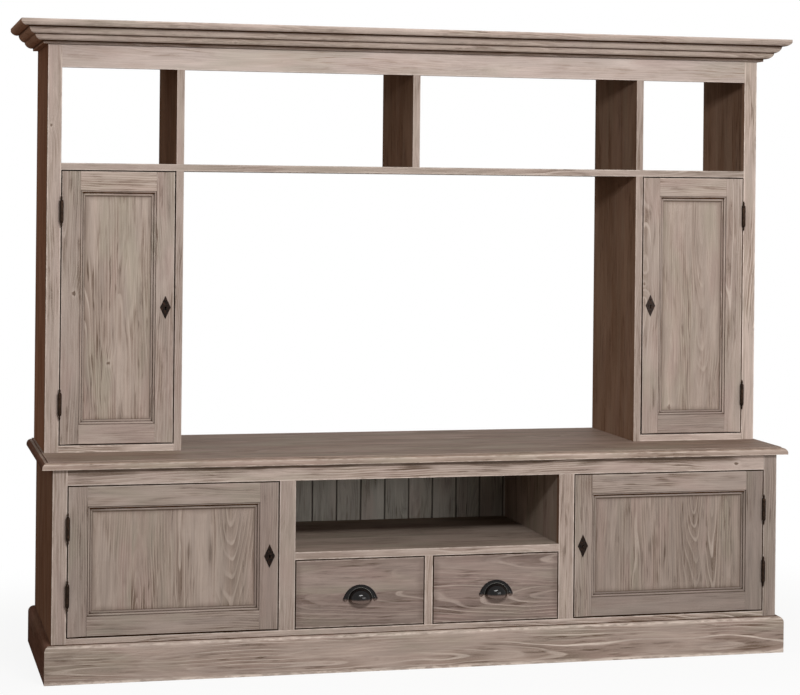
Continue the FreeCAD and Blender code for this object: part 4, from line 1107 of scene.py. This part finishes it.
def bar(bm, low, high, round_edge):
    """Adds a block with rounded edges between two corners."""
    made = bmesh.ops.create_cube(bm, size=1.0)["verts"]
    centre = (Vector(low) + Vector(high)) / 2
    bmesh.ops.scale(bm, vec=Vector(high) - Vector(low), verts=made)
    bmesh.ops.translate(bm, vec=centre, verts=made)
    edges = [e for e in bm.edges if e.verts[0] in made]
    bmesh.ops.bevel(bm, geom=edges, offset=round_edge, segments=2, profile=0.5, affect="EDGES",
                    material=-1)


# %% [markdown]
# The hinges' places come from the frame: the box of a door's leaves runs from the foot of its lower
# leaf to the tip of its upper finial. A plain bar joins each leaf to its barrel.

# %% Hinges
BARREL_RADIUS = 6.5 * MM
BARREL_HALF = 32.5 * MM
TIP_HEIGHT = 45.86 * MM
LEAF_THICK = 2 * MM
LEAF_DEEP = 17.6 * MM
LEAF_BEHIND = 0.5 * MM
LEAF_ROUND = 0.3 * MM
LEAF_OVERLAP = 1 * MM
KNUCKLE_GAP = 1 * MM
DOOR_GAP = 3.2 * MM
HALF_BARREL = ((0, 0.15), (5.3, 0.15), (5.7, 0.6), (5.7, 26.4), (5.1, 26.9), (5.1, 27.3),
               (5.6, 27.8), (5.4, 29.4), (4.9, 31.0), (3.9, 32.5), (2.8, 33.5), (2.3, 34.4),
               (2.2, 35.2), (2.6, 36.2), (3.0, 37.6), (2.9, 39.2), (2.4, 41.2), (1.7, 43.2),
               (1.0, 44.9), (0.5, 45.7), (0, 45.86))
DOORS = (("base_door_right", 1), ("base_door_left", -1), ("tower_door_right", 1),
         ("tower_door_left", -1))


def half_hinge(bm, pin_x, pin_y, level, hand, on_door):
    """Half a hinge at a pin's line. hand is 1 for a right-hand door, -1 for a left-hand one."""
    barrel = turned(bm, HALF_BARREL)
    if not on_door:
        bmesh.ops.scale(bm, vec=(1, 1, -1), verts=barrel)
    bmesh.ops.translate(bm, vec=(pin_x, pin_y, level), verts=barrel)
    side = -hand if on_door else hand
    edge = pin_x + DOOR_GAP / 2 * side
    left, right = sorted((edge, edge + LEAF_THICK * side))
    front = pin_y + BARREL_RADIUS + LEAF_BEHIND
    bar(bm, (left, front, level - BARREL_HALF), (right, front + LEAF_DEEP, level + BARREL_HALF),
        LEAF_ROUND)
    if on_door:
        foot, head = level + KNUCKLE_GAP, level + BARREL_HALF - KNUCKLE_GAP
    else:
        foot, head = level - BARREL_HALF + KNUCKLE_GAP, level - KNUCKLE_GAP
    bar(bm, (left, pin_y, foot), (right, front + LEAF_OVERLAP, head), LEAF_ROUND)


frame_halves = bmesh.new()
for door, hand in DOORS:
    low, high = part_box(door + "_hinge_leaves")
    pin_x = high.x - BARREL_RADIUS if hand == 1 else low.x + BARREL_RADIUS
    pin_y = low.y + BARREL_RADIUS
    door_halves = bmesh.new()
    for level in (low.z + BARREL_HALF, high.z - TIP_HEIGHT):
        half_hinge(door_halves, pin_x, pin_y, level, hand, True)
        half_hinge(frame_halves, pin_x, pin_y, level, hand, False)
    bmesh.ops.recalc_face_normals(door_halves, faces=door_halves.faces)
    new_piece(door + "_turned_hinges", door_halves, (waxed_iron,), door + "_hinge_leaves")
    print(door, "hangs at", round(pin_x, 4), round(pin_y, 4))
bmesh.ops.recalc_face_normals(frame_halves, faces=frame_halves.faces)
new_piece("frame_turned_hinges", frame_halves, (waxed_iron,), "hinge_frame_leaves")

# %% [markdown]
# ## Keyhole plates
# A diamond of thin iron with a raised ring round the keyhole. The frame has its exact shape, so a
# copy of its mesh gets small rounded edges, which is all that a filed and waxed plate adds. The
# bolts keep their own meshes and get the iron finish.

# %% Keyhole plates
PLATE_ROUND = 0.35 * MM
PLATE_EDGE_LIMIT = math.radians(40)
PLATE_SHORT_EDGE = 0.3 * MM

for node_name in sorted(nodes):
    if node_name.endswith("_lock"):
        bm = bmesh.new()
        bm.from_mesh(nodes[node_name].data)
        make_whole(bm)
        round_off(bm, outward_edges(bm, PLATE_EDGE_LIMIT, PLATE_SHORT_EDGE), PLATE_ROUND)
        new_piece(node_name + "_plate", bm, (plate_iron,), node_name)
    elif node_name.endswith("_bolt"):
        slots = nodes[node_name].data.materials
        for i in range(len(slots)):
            slots[i] = waxed_iron

# %% [markdown]
# ## Cup pulls
# A cast pull has a half-round back plate on two round feet, with a rope edge and a rosette on each
# foot, and a hollow cup for the fingers with a raised fillet where it meets the plate. It could be
# drawn as one surface, but its parts are simple shapes, so each is made alone and they are joined
# as the founder's pattern was. First the cup: a ball, squashed to its three half sizes, cut off
# behind and along its falling lip, and given a wall.

# %% Cup
PULL_REACH = 28 * MM
PLATE_THICK = 2.5 * MM
CUP_HALF = Vector((34.5, 28, 31.5)) * MM
CUP_FALL = 10 * MM
CUP_WALL = 2.5 * MM


def everything(bm):
    return bm.verts[:] + bm.edges[:] + bm.faces[:]


def cut(bm, place, way):
    """Cuts a bmesh along a plane and drops the side that way points to."""
    bmesh.ops.bisect_plane(bm, geom=everything(bm), plane_co=place, plane_no=way,
                           clear_outer=True)


def cup(centre):
    bm = bmesh.new()
    bmesh.ops.create_uvsphere(bm, u_segments=56, v_segments=36, radius=1.0)
    bmesh.ops.scale(bm, vec=CUP_HALF, verts=bm.verts)
    cut(bm, (0, -0.5 * PLATE_THICK, 0), (0, 1, 0))
    cut(bm, (0, 0, 0), Vector((0, CUP_FALL, -PULL_REACH)))
    bmesh.ops.recalc_face_normals(bm, faces=bm.faces)
    if sum(f.normal.dot(f.calc_center_median()) for f in bm.faces) < 0:
        bmesh.ops.reverse_faces(bm, faces=bm.faces)
    bmesh.ops.solidify(bm, geom=bm.faces[:], thickness=CUP_WALL)
    bmesh.ops.translate(bm, vec=centre, verts=bm.verts)
    return bm


# %% [markdown]
# The fillet is a small circle spun to a ring, squashed and cut like the cup.

# %% Fillet
FILLET_RADIUS = 1.9 * MM
FILLET_OUT = 0.6 * MM


def fillet(centre):
    bm = bmesh.new()
    made = bmesh.ops.create_circle(bm, segments=12, radius=FILLET_RADIUS)["verts"]
    bmesh.ops.translate(bm, vec=(CUP_HALF.x + FILLET_OUT, 0, 0), verts=made)
    bmesh.ops.spin(bm, geom=everything(bm), cent=(0, 0, 0), axis=(0, 1, 0), dvec=(0, 0, 0),
                   angle=math.tau, steps=72, use_merge=True, use_duplicate=False)
    bmesh.ops.remove_doubles(bm, verts=bm.verts, dist=MERGE)
    bmesh.ops.scale(bm, vec=(1, 1, CUP_HALF.z / CUP_HALF.x), verts=bm.verts)
    cut(bm, (0, 0, 0), (0, 0, -1))
    bmesh.ops.holes_fill(bm, edges=[e for e in bm.edges if e.is_boundary])
    bmesh.ops.translate(bm, vec=centre + Vector((0, -PLATE_THICK, 0)), verts=bm.verts)
    return bm


# %% [markdown]
# The back plate is the part of a disc above the feet, pulled forwards to its thickness, with a
# rounded front edge. Beads in a row along its curved edge make the rope.

# %% Back plate and rope
UPRIGHT_TURN = Matrix.Rotation(math.radians(90), 3, "X")
PLATE_RADIUS = 51 * MM
PULL_ROUND = 0.8 * MM
BEADS = 41
BEAD = 1.5 * MM
ROPE_INSET = 1.8 * MM
ROPE_START, ROPE_TURN = 12, 156  # degrees


def back_plate(centre, foot_level):
    bm = bmesh.new()
    bmesh.ops.create_circle(bm, cap_ends=True, segments=128, radius=PLATE_RADIUS)
    bmesh.ops.rotate(bm, cent=(0, 0, 0), matrix=UPRIGHT_TURN, verts=bm.verts)
    bmesh.ops.translate(bm, vec=centre, verts=bm.verts)
    cut(bm, (0, 0, foot_level), (0, 0, -1))
    front = bmesh.ops.extrude_face_region(bm, geom=bm.faces[:])["geom"]
    moved = [item for item in front if isinstance(item, bmesh.types.BMVert)]
    bmesh.ops.translate(bm, vec=(0, -PLATE_THICK, 0), verts=moved)
    rim = [e for e in bm.edges if all(v in moved for v in e.verts)]
    bmesh.ops.bevel(bm, geom=rim, offset=PULL_ROUND, segments=3, profile=0.5, affect="EDGES",
                    material=-1)
    return bm


def rope_edge(centre):
    bm = bmesh.new()
    reach = PLATE_RADIUS - ROPE_INSET
    for i in range(BEADS):
        angle = math.radians(ROPE_START + ROPE_TURN * i / (BEADS - 1))
        bead = bmesh.ops.create_icosphere(bm, subdivisions=2, radius=BEAD)["verts"]
        place = (reach * math.cos(angle), -PLATE_THICK, reach * math.sin(angle))
        bmesh.ops.translate(bm, vec=centre + Vector(place), verts=bead)
    return bm


# %% [markdown]
# A foot is turned like the hinges, with the round head of its screw in the middle, and six small
# balls half sunk round it make the petals.

# %% Feet
FOOT_PROFILE = ((0, 0), (7, 0), (7, 1.7), (6.6, 2.4), (5.8, 2.8), (5.0, 2.5), (3.4, 2.6),
                (3.2, 3.2), (2.4, 3.9), (1.2, 4.2), (0, 4.3))
FOOT_STEPS = 28
PETALS = 6
PETAL = 1.35 * MM
PETAL_RING = 4.4 * MM
PETAL_LEVEL = 2.5 * MM


def foot(centre):
    bm = bmesh.new()
    turned(bm, FOOT_PROFILE, FOOT_STEPS)
    for i in range(PETALS):
        angle = math.tau * i / PETALS
        petal = bmesh.ops.create_icosphere(bm, subdivisions=2, radius=PETAL)["verts"]
        place = (PETAL_RING * math.cos(angle), PETAL_RING * math.sin(angle), PETAL_LEVEL)
        bmesh.ops.translate(bm, vec=place, verts=petal)
    bmesh.ops.rotate(bm, cent=(0, 0, 0), matrix=UPRIGHT_TURN, verts=bm.verts)
    bmesh.ops.translate(bm, vec=centre, verts=bm.verts)
    return bm


# %% [markdown]
# Everything hangs from what the frame's box of the pull gives: its middle, its nose, from which the
# back follows, and its top, from which the feet and the plate follow.

# %% Put the pulls together
PLATE_ABOVE_FEET = 48 * MM
FOOT_RADIUS = 7 * MM
CUP_LIFT = 7 * MM


def add_to(whole, part, finish=0):
    """Adds one part of a pull. Its normals are set outwards first."""
    bmesh.ops.recalc_face_normals(part, faces=part.faces)
    for face in part.faces:
        face.material_index = finish
    move_into(whole, part)


for drawer in ("drawer_right", "drawer_left"):
    low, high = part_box(drawer + "_pull")
    middle = (low.x + high.x) / 2
    back = low.y + PULL_REACH
    feet = high.z - PLATE_ABOVE_FEET
    plate_centre = Vector((middle, back, high.z - PLATE_RADIUS))
    cup_centre = Vector((middle, back, feet + CUP_LIFT))
    foot_level = feet + FOOT_RADIUS
    pull = bmesh.new()
    add_to(pull, cup(cup_centre))
    # The fillet takes the second finish, a painted reflection.
    add_to(pull, fillet(cup_centre), 1)
    add_to(pull, back_plate(plate_centre, foot_level))
    add_to(pull, rope_edge(plate_centre))
    for side in (-1, 1):
        foot_x = middle + (PLATE_RADIUS - FOOT_RADIUS) * side
        add_to(pull, foot(Vector((foot_x, back, foot_level))))
    piece = new_piece(drawer + "_cup_pull", pull, (black_enamel, fillet_reflection_enamel), drawer + "_pull")
    print(piece.name, len(piece.data.polygons), "faces")
